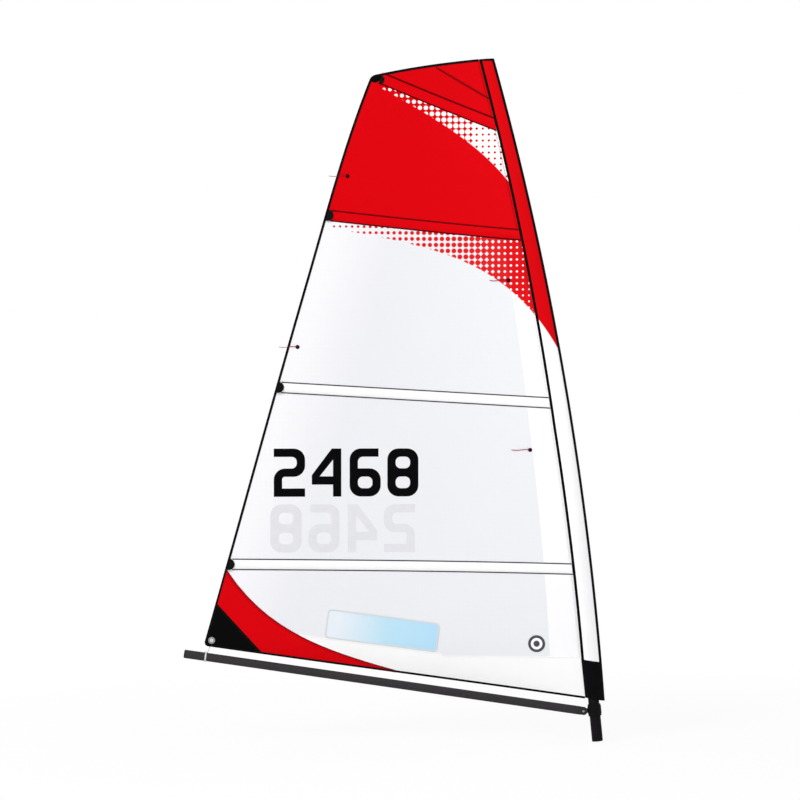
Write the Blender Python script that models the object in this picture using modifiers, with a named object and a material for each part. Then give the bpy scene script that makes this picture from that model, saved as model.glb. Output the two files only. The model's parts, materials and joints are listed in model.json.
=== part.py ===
# Unstayed rig of a small dinghy: a two-part mast, a sleeved and fully battened sail, and a boom.
# +X is forward, +Y is to port and +Z is up. The origin is the middle of the mast heel's end face.

import math

import bmesh
import bpy
from mathutils import Matrix, Vector

# Mast, in metres
MAST_DIAMETER = 0.057
MAST_WALL = 0.003
LOWER_MAST_LENGTH = 1.25
UPPER_MAST_DIAMETER = 0.047
UPPER_MAST_WALL = 0.0025
MAST_TIP_DIAMETER = 0.030
MAST_OVERLAP = 0.22
BEND_LENGTH = 1.00
HEEL_FLANGE = 0.008
PLUG_LENGTH = 0.060
JOINT_FLANGE = 0.010
JOINT_SLEEVE = 0.070
TIP_CLEARANCE = 0.020

# Luff: the front edge of the sleeve is one long arc
LUFF_RADIUS = 17.14
LUFF_TILT = math.radians(3.405)
HEAD_HEIGHT = 3.548
TACK_HEIGHT = 0.210
TACK_PATCH_HEIGHT = 0.200
HEEL_SETBACK = 0.0231
JOINT_SETBACK = 0.022
FRONT_ROOM = 0.0035
SLEEVE_WIDTH = 0.105
SLEEVE_TOP_WIDTH = 0.077
SLEEVE_TAPER_START = 0.42
SLEEVE_SKEW = 0.235
SLEEVE_ROOM = 0.0025
SLEEVE_WALL = 0.0015
SEAM_WALL = 0.004
SLEEVE_STATIONS = 18

# Sail outline
CLEW_X = -2.047
CLEW_HEIGHT = 0.4966
FOOT_RISE = math.radians(7.86)
FOOT_ROUND = 0.0078
HEAD_CORNER_X = -1.1895
HEAD_CORNER_HEIGHT = 3.4605
HEAD_BULGE = 0.011
LEECH_SLOPE_LOW = 0.2836
LEECH_SLOPE_HIGH = 0.3237

# Belly of the sail, as shares of its width and height
CAMBER = 0.075
CAMBER_FALL = 0.40
DRAFT_FORWARD = 0.40

# Cloth
CLOTH = 0.0015
SEWN_GAP = 0.0009
PATCH_THICKNESS = 0.0010
SEAM_GAP = 0.0004
TAPE_WIDTH = 0.008
TAPE_WALL = 0.0010
GRID_X = 0.075
GRID_Z = 0.240
LUFF_STRIP_LOW = 0.160
LUFF_STRIP_HIGH = 0.088
LUFF_STRIP_LOW_AT = 0.440
LUFF_STRIP_HIGH_AT = 2.630

# Battens from the foot up: height at the leech, rise towards it, distance off it, cap size, pocket width
BATTENS = (
    (0.919, math.radians(0.8), 0.0, 1.0, 0.060),
    (1.840, math.radians(3.3), 0.0, 1.0, 0.060),
    (2.735, math.radians(5.8), 0.0, 1.0, 0.054),
    (3.463, math.radians(21.5), 0.055, 0.75, 0.054),
)
SEAM_DROP = 0.012
POCKET_DEPTH = 0.0085
POCKET_WALL = 0.0008
POCKET_LUFF_END = 0.004
BATTEN_WIDTH = 0.024
BATTEN_THICKNESS = 0.0032
BATTEN_REST = 0.0012
CAP_HALF_HEIGHT = 0.029
CAP_REACH = 0.033
CAP_ROOF = 0.003
CAP_LAP = 0.016
CAP_SOCKET = 0.009

# Clew, window and tack
EYELET_INSET = 0.033
EYELET_HOLE = 0.009
EYELET_BARREL = 0.011
EYELET_FLANGE = 0.018
EYELET_PLATE = 0.0012
CLEW_PATCH_REACH = 1.10
CLEW_PATCH_CLEAR = 0.0335
CLEW_PATCH_HOLLOW = 3.2
INNER_PATCH_RISE = 0.272
INNER_PATCH_REACH = 0.3185
WINDOW_LENGTH = 0.580
WINDOW_HEIGHT = 0.146
WINDOW_TILT = math.radians(7.2)
WINDOW_X = -1.118
WINDOW_Z = 0.567
WINDOW_CORNER = 0.022
WINDOW_LAP = 0.010
TACK_CLOTH_REACH = 0.715
TACK_CLOTH_TOP = 0.437
BUTTON_X = -0.315
BUTTON_Z = 0.503
BUTTON_RADIUS = 0.044
BUTTON_RIM = 0.014
BUTTON_HUB = 0.016
BUTTON_HEIGHT = 0.0016
BUTTON_WEB = 0.0008

# Gooseneck and boom
BOOM_DIAMETER = 0.044
BOOM_WALL = 0.002
BOOM_OVERHANG = 0.1135
BOOM_RISE = math.radians(8.15)
COLLAR_HEIGHT = 0.163
COLLAR_DEPTH = 0.044
COLLAR_WALL = 0.0065
STOP_DEPTH = 0.008
STOP_WALL = 0.005
FORK_CLEARANCE = 0.002
FORK_HEAD = 0.030
FORK_SPIGOT = 0.060
TONGUE_THICKNESS = 0.014
TONGUE_RADIUS = 0.012
PIN_DIAMETER = 0.008
PIN_FIT = 0.0001
PIN_HEAD_DIAMETER = 0.014
PIN_HEAD = 0.0025
PIN_TAIL = 0.007
CLIP_DIAMETER = 0.012
CLIP_THICKNESS = 0.0012
BOOM_CAP = 0.012
BOOM_CAP_EDGE = 0.004
BOOM_CAP_SPIGOT = 0.040

# Lines
CLEW_LINE_DIAMETER = 0.005
CLEW_LINE_LEAD = 0.031
TELLTALE_DIAMETER = 0.003
TELLTALE_LENGTH = 0.100
TELLTALE_WAVE = 0.0025
TELLTALES = ((-0.346, 1.513), (-0.460, 2.397), (-1.557, 2.049), (-1.297, 2.938))

# Fits
GAP = 0.0003
MERGE = 0.00001
CLOTH_MERGE = 0.0001
ROUND = 28
SMALL_ROUND = 20

# Values that follow from the sizes above
MAST_RADIUS = MAST_DIAMETER / 2
MAST_BORE = MAST_RADIUS - MAST_WALL
UPPER_RADIUS = UPPER_MAST_DIAMETER / 2
TIP_RADIUS = MAST_TIP_DIAMETER / 2
BOOM_RADIUS = BOOM_DIAMETER / 2
BOOM_BORE = BOOM_RADIUS - BOOM_WALL
PIN_RADIUS = PIN_DIAMETER / 2
COLLAR_RADIUS = MAST_RADIUS + GAP + COLLAR_WALL
PIN_OFFSET = COLLAR_RADIUS + FORK_CLEARANCE + BOOM_RADIUS
CLOTH_FACE = CLOTH / 2
LAYER = CLOTH_FACE + SEWN_GAP
SECOND_LAYER = LAYER + PATCH_THICKNESS + SEWN_GAP
STACK = SECOND_LAYER + PATCH_THICKNESS
EDGE = TAPE_WALL + GAP
MARGIN = TAPE_WIDTH + GAP * 4

ARC = Vector((MAST_RADIUS + HEEL_SETBACK - LUFF_RADIUS * math.cos(LUFF_TILT),
              -LUFF_RADIUS * math.sin(LUFF_TILT)))


def mast_rake():
    """Lean of the straight lower mast, so that both its ends sit at their setbacks in the sleeve."""
    to_arc = ARC.length
    to_joint = LUFF_RADIUS - MAST_RADIUS - JOINT_SETBACK
    cosine = (to_arc ** 2 + LOWER_MAST_LENGTH ** 2 - to_joint ** 2) / (2 * to_arc * LOWER_MAST_LENGTH)
    return math.pi / 2 + math.atan2(-ARC.y, -ARC.x) - math.acos(cosine)


RAKE = mast_rake()
MAST_UP = Vector((-math.sin(RAKE), 0, math.cos(RAKE)))
MAST_AFT = Vector((-math.cos(RAKE), 0, -math.sin(RAKE)))
PIN = MAST_UP * COLLAR_HEIGHT + MAST_AFT * PIN_OFFSET
BOOM_AFT = Vector((-math.cos(BOOM_RISE), 0, math.sin(BOOM_RISE)))
BOOM_TURN = BOOM_RISE - math.pi / 2


# Places along the luff, as an angle on the arc and an inset behind it

def on_arc(angle, inset):
    """Point behind the front edge of the sleeve, in the plane of the mast."""
    reach = LUFF_RADIUS - inset
    return Vector((ARC.x + reach * math.cos(angle), 0, ARC.y + reach * math.sin(angle)))


def arc_angle(height, inset=0.0):
    return math.asin((height - ARC.y) / (LUFF_RADIUS - inset))


def angle_of(point):
    return math.atan2(point.z - ARC.y, point.x - ARC.x)


TACK_ANGLE = arc_angle(TACK_HEIGHT)
PATCH_ANGLE = arc_angle(TACK_HEIGHT + TACK_PATCH_HEIGHT)
HEAD_ANGLE = arc_angle(HEAD_HEIGHT)
BEND_ANGLE = angle_of(MAST_UP * (LOWER_MAST_LENGTH + JOINT_FLANGE + GAP))
SETTLED_ANGLE = BEND_ANGLE + BEND_LENGTH / LUFF_RADIUS
TIP_ANGLE = HEAD_ANGLE - TIP_CLEARANCE / LUFF_RADIUS


def share(value, low, high):
    return min(max((value - low) / (high - low), 0.0), 1.0)


def upper_radius(angle):
    return UPPER_RADIUS + (TIP_RADIUS - UPPER_RADIUS) * share(angle, BEND_ANGLE, TIP_ANGLE)


def mast_inset(angle):
    """Distance of the mast's middle behind the arc: straight below, then bending with the luff."""
    across = ARC.x * math.cos(RAKE) + ARC.y * math.sin(RAKE)
    if angle <= BEND_ANGLE:
        return LUFF_RADIUS + across / math.cos(angle - RAKE)
    if angle >= SETTLED_ANGLE:
        return upper_radius(angle) + FRONT_ROOM
    t = share(angle, BEND_ANGLE, SETTLED_ANGLE)
    span = SETTLED_ANGLE - BEND_ANGLE
    start = LUFF_RADIUS + across / math.cos(BEND_ANGLE - RAKE)
    start_slope = across * math.sin(BEND_ANGLE - RAKE) / math.cos(BEND_ANGLE - RAKE) ** 2
    end = upper_radius(SETTLED_ANGLE) + FRONT_ROOM
    end_slope = (TIP_RADIUS - UPPER_RADIUS) / (TIP_ANGLE - BEND_ANGLE)
    return ((2 * t ** 3 - 3 * t ** 2 + 1) * start + (t ** 3 - 2 * t ** 2 + t) * span * start_slope
            + (3 * t ** 2 - 2 * t ** 3) * end + (t ** 3 - t ** 2) * span * end_slope)


def sleeve_width(angle):
    taper = share(share(angle, TACK_ANGLE, HEAD_ANGLE), SLEEVE_TAPER_START, 1.0)
    return SLEEVE_WIDTH + (SLEEVE_TOP_WIDTH - SLEEVE_WIDTH) * taper


def seam_x(height):
    """Place of the sleeve's aft seam at a height."""
    inset = SLEEVE_WIDTH
    for _ in range(8):
        angle = arc_angle(height, inset)
        inset = sleeve_width(angle - SLEEVE_SKEW * inset / LUFF_RADIUS)
    return on_arc(angle, inset).x


# Outline of the sail

def leech_x(height):
    """Leech from the clew to the head corner, a curve with a set slope at each end."""
    rise = HEAD_CORNER_HEIGHT - CLEW_HEIGHT
    t = (height - CLEW_HEIGHT) / rise
    if t < 0:
        return CLEW_X + (height - CLEW_HEIGHT) * LEECH_SLOPE_LOW
    return ((2 * t ** 3 - 3 * t ** 2 + 1) * CLEW_X + (t ** 3 - 2 * t ** 2 + t) * rise * LEECH_SLOPE_LOW
            + (3 * t ** 2 - 2 * t ** 3) * HEAD_CORNER_X + (t ** 3 - t ** 2) * rise * LEECH_SLOPE_HIGH)


def slope_of(edge, height):
    """Change of an edge's place with height."""
    return (edge(height + TAPE_WIDTH) - edge(height - TAPE_WIDTH)) / (TAPE_WIDTH * 2)


def foot_z(x):
    """Foot of the sail, which hangs a little below the line from the clew to the tack."""
    t = (x - CLEW_X) / -CLEW_X
    return CLEW_HEIGHT - (x - CLEW_X) * math.tan(FOOT_RISE) - 4 * FOOT_ROUND * t * (1 - t)


def head_z(x):
    inner = on_arc(HEAD_ANGLE + SLEEVE_SKEW * SLEEVE_TOP_WIDTH / LUFF_RADIUS, SLEEVE_TOP_WIDTH)
    t = (x - HEAD_CORNER_X) / (inner.x - HEAD_CORNER_X)
    return HEAD_CORNER_HEIGHT + (inner.z - HEAD_CORNER_HEIGHT) * t + 4 * HEAD_BULGE * t * (1 - t)


def batten_z(index):
    """Height of one batten's middle line as a function of x."""
    height, rise = BATTENS[index][:2]
    start = leech_x(height)
    return lambda x: height - math.tan(rise) * (x - start)


def strip_x(height):
    """Aft edge of the white cloth along the luff."""
    t = (height - LUFF_STRIP_LOW_AT) / (LUFF_STRIP_HIGH_AT - LUFF_STRIP_LOW_AT)
    return seam_x(height) - LUFF_STRIP_LOW - (LUFF_STRIP_HIGH - LUFF_STRIP_LOW) * t


def shifted(edge, distance):
    return lambda value: edge(value) + distance


def belly(x, z):
    """How far the sail stands to port of the mast's plane."""
    fore = seam_x(z)
    width = fore - leech_x(z)
    c = (fore - x) / width
    if c <= 0 or c >= 1:
        return 0.0
    level = share(z, CLEW_HEIGHT, HEAD_CORNER_HEIGHT)
    depth = CAMBER * (1 - CAMBER_FALL * (2 * level - 1) ** 2) * width
    forward = 27 / 4 * c * (1 - c) ** 2
    even = 4 * c * (1 - c)
    return depth * (DRAFT_FORWARD * forward + (1 - DRAFT_FORWARD) * even)


# Scene and objects

for old in list(bpy.data.objects):
    bpy.data.objects.remove(old, do_unlink=True)

rig = bpy.data.collections.new("dinghy_rig")
cutters = bpy.data.collections.new("cutters")
bpy.context.scene.collection.children.link(rig)
bpy.context.scene.collection.children.link(cutters)


def finish_of(name, colour, roughness, metallic=0.0):
    material = bpy.data.materials.new(name)
    material.use_nodes = True
    shader = material.node_tree.nodes["Principled BSDF"]
    shader.inputs["Base Color"].default_value = (*colour, 1.0)
    shader.inputs["Roughness"].default_value = roughness
    shader.inputs["Metallic"].default_value = metallic
    return material


def new_object(name, data, colour, roughness=0.5, metallic=0.0):
    piece = bpy.data.objects.new(name, data)
    rig.objects.link(piece)
    if colour:
        data.materials.append(finish_of(name, colour, roughness, metallic))
    return piece


BLACK = (0.010, 0.009, 0.010)
SPAR = (0.011, 0.010, 0.011)
BOOM_GREY = (0.038, 0.036, 0.037)
RED = (0.745, 0.003, 0.008)
WHITE = (0.930, 0.930, 0.930)
FILM = (0.863, 0.880, 0.912)
CLEAR_BLUE = (0.510, 0.770, 0.930)
STEEL = (0.560, 0.570, 0.580)


def as_cutter(piece):
    for collection in list(piece.users_collection):
        collection.objects.unlink(piece)
    cutters.objects.link(piece)
    piece.hide_render = True
    piece.display_type = "WIRE"
    return piece


def evaluated_mesh(piece):
    bpy.context.view_layer.update()
    graph = bpy.context.evaluated_depsgraph_get()
    return bpy.data.meshes.new_from_object(piece.evaluated_get(graph))


def combine(piece, other, operation="DIFFERENCE"):
    modifier = piece.modifiers.new(operation.title(), "BOOLEAN")
    modifier.operation = operation
    modifier.solver = "EXACT"
    modifier.object = as_cutter(other)
    return piece


def apply_all(piece):
    mesh = evaluated_mesh(piece)
    piece.modifiers.clear()
    piece.data = mesh
    return piece


def smooth(piece, limit=35):
    piece.data.shade_smooth()
    piece.data.set_sharp_from_angle(angle=math.radians(limit))
    return piece


def turned(name, profile, colour, closed=False, steps=ROUND, roughness=0.5, metallic=0.0):
    """Profile of (radius, height) points, down the outer side, turned about Z."""
    mesh = bpy.data.meshes.new(name)
    edges = [(i, i + 1) for i in range(len(profile) - 1)]
    if closed:
        edges.append((len(profile) - 1, 0))
    mesh.from_pydata([(radius, 0.0, height) for radius, height in profile], edges, [])
    piece = new_object(name, mesh, colour, roughness, metallic)
    screw = piece.modifiers.new("Turn", "SCREW")
    screw.axis = "Z"
    screw.steps = steps
    screw.render_steps = steps
    screw.use_merge_vertices = True
    screw.merge_threshold = MERGE
    return smooth(apply_all(piece))


def tube_profile(outer, inner, bottom, top):
    return [(outer, top), (outer, bottom), (inner, bottom), (inner, top)]


def lofted(name, rings, colour, joined=False, roughness=0.5, metallic=0.0):
    """Skin through rings of equal point counts, closed by end faces or back onto its first ring."""
    form = bmesh.new()
    loops = [[form.verts.new(point) for point in ring] for ring in rings]
    pairs = list(zip(loops, loops[1:]))
    if joined:
        pairs.append((loops[-1], loops[0]))
    for first, second in pairs:
        count = len(first)
        for i in range(count):
            j = (i + 1) % count
            form.faces.new((first[i], first[j], second[j], second[i]))
    if not joined:
        form.faces.new(loops[0])
        form.faces.new(loops[-1])
    bmesh.ops.recalc_face_normals(form, faces=form.faces)
    mesh = bpy.data.meshes.new(name)
    form.to_mesh(mesh)
    form.free()
    return smooth(new_object(name, mesh, colour, roughness, metallic))


def flat_piece(name, outline, near, far, colour=None, roughness=0.5):
    """Solid of an (x, z) outline, from near to far on the starboard side of the mast's plane."""
    curve = bpy.data.curves.new(name, "CURVE")
    curve.dimensions = "2D"
    curve.fill_mode = "BOTH"
    curve.extrude = (far - near) / 2
    spline = curve.splines.new("POLY")
    spline.points.add(len(outline) - 1)
    for point, (x, z) in zip(spline.points, outline):
        point.co = (x, z, 0.0, 1.0)
    spline.use_cyclic_u = True
    shape = new_object(name + "_outline", curve, None)
    mesh = evaluated_mesh(shape)
    bpy.data.objects.remove(shape, do_unlink=True)
    form = bmesh.new()
    form.from_mesh(mesh)
    bmesh.ops.remove_doubles(form, verts=form.verts, dist=MERGE)
    bmesh.ops.recalc_face_normals(form, faces=form.faces)
    form.to_mesh(mesh)
    form.free()
    mesh.transform(Matrix.Translation((0, -(near + far) / 2, 0)) @ Matrix.Rotation(math.pi / 2, 4, "X"))
    mesh.name = name
    return new_object(name, mesh, colour, roughness)


def cylinder(name, radius, low, high, axis="Z", steps=SMALL_ROUND, at=(0, 0, 0)):
    """Plain round bar between two distances along an axis."""
    form = bmesh.new()
    bmesh.ops.create_cone(form, cap_ends=True, segments=steps, radius1=radius, radius2=radius,
                          depth=high - low, matrix=Matrix.Translation((0, 0, (low + high) / 2)))
    turn = {"Z": Matrix.Identity(4), "Y": Matrix.Rotation(-math.pi / 2, 4, "X")}[axis]
    bmesh.ops.transform(form, matrix=Matrix.Translation(at) @ turn, verts=form.verts)
    mesh = bpy.data.meshes.new(name)
    form.to_mesh(mesh)
    form.free()
    return new_object(name, mesh, None)


def box(name, low, high):
    form = bmesh.new()
    bmesh.ops.create_cube(form, size=1.0)
    size = [b - a for a, b in zip(low, high)]
    middle = [(a + b) / 2 for a, b in zip(low, high)]
    bmesh.ops.scale(form, vec=size, verts=form.verts)
    bmesh.ops.translate(form, vec=middle, verts=form.verts)
    mesh = bpy.data.meshes.new(name)
    form.to_mesh(mesh)
    form.free()
    return new_object(name, mesh, None)


def drape(piece):
    """Moves a flat sail piece sideways onto the belly of the sail."""
    mesh = piece.data
    mesh.transform(piece.matrix_basis)
    piece.matrix_basis = Matrix.Identity(4)
    for vertex in mesh.vertices:
        vertex.co.y += belly(vertex.co.x, vertex.co.z)
    return smooth(piece)


def grid_lines(low, high, pitch):
    first = math.floor(low / pitch) - 1
    last = math.ceil(high / pitch) + 1
    return first * pitch, last * pitch, last - first


def cloth_piece(name, outline, near, far, colour, roughness=0.6, holes=()):
    """Sheet of cloth cut to an outline, on grid lines that every layer of the sail shares."""
    xs = [x for x, _ in outline]
    zs = [z for _, z in outline]
    x_low, x_high, columns = grid_lines(min(xs), max(xs), GRID_X)
    z_low, z_high, rows = grid_lines(min(zs), max(zs), GRID_Z)
    form = bmesh.new()
    bmesh.ops.create_grid(form, x_segments=columns, y_segments=rows, size=0.5)
    bmesh.ops.scale(form, vec=(x_high - x_low, z_high - z_low, 1), verts=form.verts)
    bmesh.ops.translate(form, vec=((x_low + x_high) / 2, (z_low + z_high) / 2, 0), verts=form.verts)
    bmesh.ops.rotate(form, matrix=Matrix.Rotation(math.pi / 2, 3, "X"), verts=form.verts)
    bmesh.ops.translate(form, vec=(0, -(near + far) / 2, 0), verts=form.verts)
    mesh = bpy.data.meshes.new(name)
    form.to_mesh(mesh)
    form.free()
    piece = new_object(name, mesh, colour, roughness)
    thicken = piece.modifiers.new("Cloth", "SOLIDIFY")
    thicken.thickness = far - near
    thicken.offset = 0.0
    reach = far - near + CLOTH
    combine(piece, flat_piece(name + "_cut", outline, near - reach, far + reach), "INTERSECT")
    for hole in holes:
        combine(piece, hole)
    weld = piece.modifiers.new("Weld", "WELD")
    weld.merge_threshold = CLOTH_MERGE
    return drape(apply_all(piece))


# Outlines

def crossing(edge_z, edge_x, x):
    """Corner where an edge given as a height meets one given as a place."""
    for _ in range(40):
        x = edge_x(edge_z(x))
    return x, edge_z(x)


def stations(fore, aft):
    """Places from fore to aft on the shared grid lines, with both ends."""
    first = math.floor(fore / GRID_X)
    last = math.ceil(aft / GRID_X)
    inner = [i * GRID_X for i in range(first, last - 1, -1)]
    room = GRID_X / 5
    return [fore] + [x for x in inner if aft + room < x < fore - room] + [aft]


def region(lower, upper, fore, aft, steps=1):
    """Outline between a lower and an upper edge, and a fore and an aft edge."""
    low_fore = crossing(lower, fore, MAST_UP.x)
    low_aft = crossing(lower, aft, CLEW_X)
    high_aft = crossing(upper, aft, HEAD_CORNER_X)
    high_fore = crossing(upper, fore, MAST_UP.x)

    def up(edge, start, end):
        zs = [start[1] + (end[1] - start[1]) * i / steps for i in range(1, steps)]
        return [(edge(z), z) for z in zs]

    return ([(x, lower(x)) for x in stations(low_fore[0], low_aft[0])] + up(aft, low_aft, high_aft)
            + [(x, upper(x)) for x in reversed(stations(high_fore[0], high_aft[0]))]
            + up(fore, high_fore, low_fore))


def rounded(corners, radius, steps=5):
    """Outline with each corner turned into an arc."""
    outline = []
    count = len(corners)
    for i, corner in enumerate(corners):
        here = Vector(corner)
        back = (Vector(corners[i - 1]) - here).normalized()
        ahead = (Vector(corners[(i + 1) % count]) - here).normalized()
        half = back.angle(ahead) / 2
        middle = here + (back + ahead).normalized() * radius / math.sin(half)
        first = here + back * radius / math.tan(half) - middle
        sweep = first.angle_signed(here + ahead * radius / math.tan(half) - middle)
        for step in range(steps + 1):
            arm = Matrix.Rotation(-sweep * step / steps, 2) @ first
            outline.append(tuple(middle + arm))
    return outline


# Joint axes

def axis_empty(name, location, turn):
    empty = bpy.data.objects.new(name, None)
    empty.location = location
    empty.rotation_euler = (0, turn, 0)
    empty.empty_display_size = 0.2
    rig.objects.link(empty)
    return empty


heel = axis_empty("heel_frame", (0, 0, 0), -RAKE)
swing_axis = axis_empty("swing_axis", (0, 0, 0), -RAKE)
boom_hinge = axis_empty("boom_hinge", PIN, BOOM_TURN)
bpy.context.view_layer.update()


def seat(piece, parent, placed=False):
    """Parents a piece; one modelled about its parent's own axis takes that axis as its place."""
    piece.parent = parent
    if not placed:
        piece.matrix_parent_inverse = parent.matrix_world.inverted()
    return piece


# Mast

def mast_lower():
    """Straight lower tube and the plug that closes its heel."""
    tube = turned("mast_lower_tube",
                  tube_profile(MAST_RADIUS, MAST_BORE, HEEL_FLANGE + GAP, LOWER_MAST_LENGTH),
                  SPAR, closed=True, roughness=0.35)
    seat(tube, heel, placed=True)
    spigot = MAST_BORE - GAP
    chamfer = HEEL_FLANGE / 4
    top = HEEL_FLANGE + PLUG_LENGTH
    plug = turned("mast_heel_plug",
                  [(0, top), (spigot - chamfer, top), (spigot, top - chamfer), (spigot, HEEL_FLANGE),
                   (MAST_RADIUS, HEEL_FLANGE), (MAST_RADIUS, chamfer), (MAST_RADIUS - chamfer, 0), (0, 0)],
                  BLACK, roughness=0.6)
    seat(plug, heel, placed=True)


def mast_upper():
    """Bent, tapering upper tube with its plugs and the flanged collar that it turns in."""
    foot = LOWER_MAST_LENGTH - MAST_OVERLAP
    straight = [(MAST_UP * height, MAST_UP, UPPER_RADIUS)
                for height in (foot, LOWER_MAST_LENGTH - JOINT_SLEEVE, LOWER_MAST_LENGTH + JOINT_FLANGE)]
    bent = []
    count = 8
    for i in range(1, count + 1):
        angle = BEND_ANGLE + (TIP_ANGLE - BEND_ANGLE) * i / count
        step = (TIP_ANGLE - BEND_ANGLE) / count / 10
        here = on_arc(angle, mast_inset(angle))
        ahead = on_arc(angle + step, mast_inset(angle + step)) - on_arc(angle - step, mast_inset(angle - step))
        bent.append((here, ahead.normalized(), upper_radius(angle)))

    def ring(middle, along, radius):
        fore = Vector((along.z, 0, -along.x))
        turns = [2 * math.pi * i / SMALL_ROUND for i in range(SMALL_ROUND)]
        return [middle + fore * math.cos(a) * radius + Vector((0, math.sin(a) * radius, 0)) for a in turns]

    course = straight + bent
    outer = [ring(*place) for place in course]
    inner = [ring(middle, along, radius - UPPER_MAST_WALL) for middle, along, radius in reversed(course)]
    seat(lofted("mast_upper_tube", outer + inner, SPAR, joined=True, roughness=0.35), swing_axis)

    bore = UPPER_RADIUS - UPPER_MAST_WALL
    bush = MAST_BORE - GAP
    lip = 0.010
    plug = turned("mast_upper_foot_plug",
                  [(0, foot + PLUG_LENGTH), (bore - GAP, foot + PLUG_LENGTH), (bore - GAP, foot - GAP),
                   (bush, foot - GAP), (bush, foot - lip), (0, foot - lip)], BLACK, roughness=0.6)
    seat(plug, swing_axis, placed=True)
    rim = LOWER_MAST_LENGTH + GAP
    collar = turned("mast_joint_collar",
                    [(MAST_RADIUS, rim + JOINT_FLANGE - GAP * 2), (MAST_RADIUS, rim), (bush, rim),
                     (bush, LOWER_MAST_LENGTH - JOINT_SLEEVE),
                     (UPPER_RADIUS + GAP, LOWER_MAST_LENGTH - JOINT_SLEEVE),
                     (UPPER_RADIUS + GAP, rim + JOINT_FLANGE - GAP * 2)],
                    BLACK, closed=True, roughness=0.6)
    seat(collar, swing_axis, placed=True)

    tip, along, radius = course[-1]
    tip_bore = radius - UPPER_MAST_WALL - GAP
    depth = PLUG_LENGTH / 2
    cap = turned("mast_tip_plug",
                 [(0, lip), (radius - lip / 4, lip), (radius, lip * 3 / 4), (radius, GAP), (tip_bore, GAP),
                  (tip_bore - GAP * 2, -depth), (0, -depth)], BLACK, roughness=0.6, steps=SMALL_ROUND)
    cap.location = tip
    cap.rotation_euler = (0, math.atan2(along.x, along.z), 0)
    seat(cap, swing_axis)


# Sleeve

def sleeve_ring(angle, wall):
    """Teardrop section round the mast, drawn in by a wall, from the front edge to the seam."""
    width = sleeve_width(angle)
    middle = mast_inset(angle + SLEEVE_SKEW * MAST_RADIUS / LUFF_RADIUS)
    body = MAST_RADIUS + (TIP_RADIUS - MAST_RADIUS) * share(angle, BEND_ANGLE, TIP_ANGLE)
    half = body + SLEEVE_ROOM + SLEEVE_WALL - wall
    tail = width - (SEAM_WALL if wall else 0.0)
    side = []
    steps = 5
    for i in range(1, steps + 1):
        turn = math.pi / 2 * i / steps
        side.append((middle - (middle - wall) * math.cos(turn), half * math.sin(turn)))
    for i in range(1, steps):
        turn = math.pi / 2 * i / steps
        side.append((middle + (tail - middle) * math.sin(turn), half * math.cos(turn) ** 1.5))
    section = [(wall, 0.0)] + side + [(tail, 0.0)] + [(c, -y) for c, y in reversed(side)]
    ring = []
    for inset, y in section:
        point = on_arc(angle + SLEEVE_SKEW * inset / LUFF_RADIUS, inset)
        ring.append((point.x, y, point.z))
    return ring


def sleeve_piece(name, low, high, count, colour, closed_top):
    angles = [low + (high - low) * i / (count - 1) for i in range(count)]
    outer = [sleeve_ring(angle, 0.0) for angle in angles]
    inner_angles = list(angles)
    if closed_top:
        inner_angles[-1] -= SLEEVE_WALL / LUFF_RADIUS
    inner = [sleeve_ring(angle, SLEEVE_WALL) for angle in inner_angles]
    rings = list(reversed(inner)) + outer
    seat(lofted(name, rings, colour, joined=not closed_top, roughness=0.7), swing_axis)


def sleeve():
    sleeve_piece("luff_sleeve", PATCH_ANGLE, HEAD_ANGLE, SLEEVE_STATIONS, WHITE, True)
    sleeve_piece("tack_patch", TACK_ANGLE, PATCH_ANGLE - GAP / LUFF_RADIUS, 4, BLACK, False)


# Sail cloth

def eyelet_place():
    x = CLEW_X + EYELET_INSET
    for _ in range(8):
        z = foot_z(x) + EYELET_INSET
        x = leech_x(z) + EYELET_INSET
    return x, z


def window_outline(grow):
    turn = Matrix.Rotation(-WINDOW_TILT, 2)
    half = (WINDOW_LENGTH / 2 + grow, WINDOW_HEIGHT / 2 + grow)
    corners = [Vector((half[0] * a, half[1] * b)) for a, b in ((-1, -1), (1, -1), (1, 1), (-1, 1))]
    middle = Vector((WINDOW_X, WINDOW_Z))
    return rounded([tuple(turn @ corner + middle) for corner in corners], WINDOW_CORNER + grow)


def eyelet_cutter():
    x, z = eyelet_place()
    reach = STACK * 4
    return cylinder("eyelet_cut", EYELET_BARREL + GAP, -reach, reach, axis="Y", at=(x, 0, z))


def panels():
    """Cloth between the battens, with a white strip along the luff below the third batten."""
    half_gap = SEAM_GAP / 2
    luff = shifted(seam_x, -GAP)
    leech = shifted(leech_x, EDGE)
    strip_fore = shifted(strip_x, half_gap)
    strip_aft = shifted(strip_x, -half_gap)
    foot = shifted(foot_z, EDGE)
    head = shifted(head_z, -EDGE)
    lines = [shifted(batten_z(i), -SEAM_DROP) for i in range(len(BATTENS))]
    above = [shifted(line, half_gap) for line in lines]
    below = [shifted(line, -half_gap) for line in lines]

    window = flat_piece("window_cut", window_outline(-WINDOW_LAP), -CLOTH * 2, CLOTH * 2)
    plans = (
        ("head_panel", above[3], head, luff, leech, RED, ()),
        ("upper_panel", above[2], below[3], luff, leech, RED, ()),
        ("mid_film_panel", above[1], below[2], strip_aft, leech, FILM, ()),
        ("mid_luff_panel", above[1], below[2], luff, strip_fore, WHITE, ()),
        ("lower_film_panel", above[0], below[1], strip_aft, leech, FILM, ()),
        ("lower_luff_panel", above[0], below[1], luff, strip_fore, WHITE, ()),
        ("foot_film_panel", foot, below[0], strip_aft, leech, FILM, (window, eyelet_cutter())),
        ("foot_luff_panel", foot, below[0], luff, strip_fore, WHITE, ()),
    )
    for name, lower, upper, fore, aft, colour, holes in plans:
        outline = region(lower, upper, fore, aft, 5)
        seat(cloth_piece(name, outline, -CLOTH_FACE, CLOTH_FACE, colour, holes=holes), swing_axis)


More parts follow.
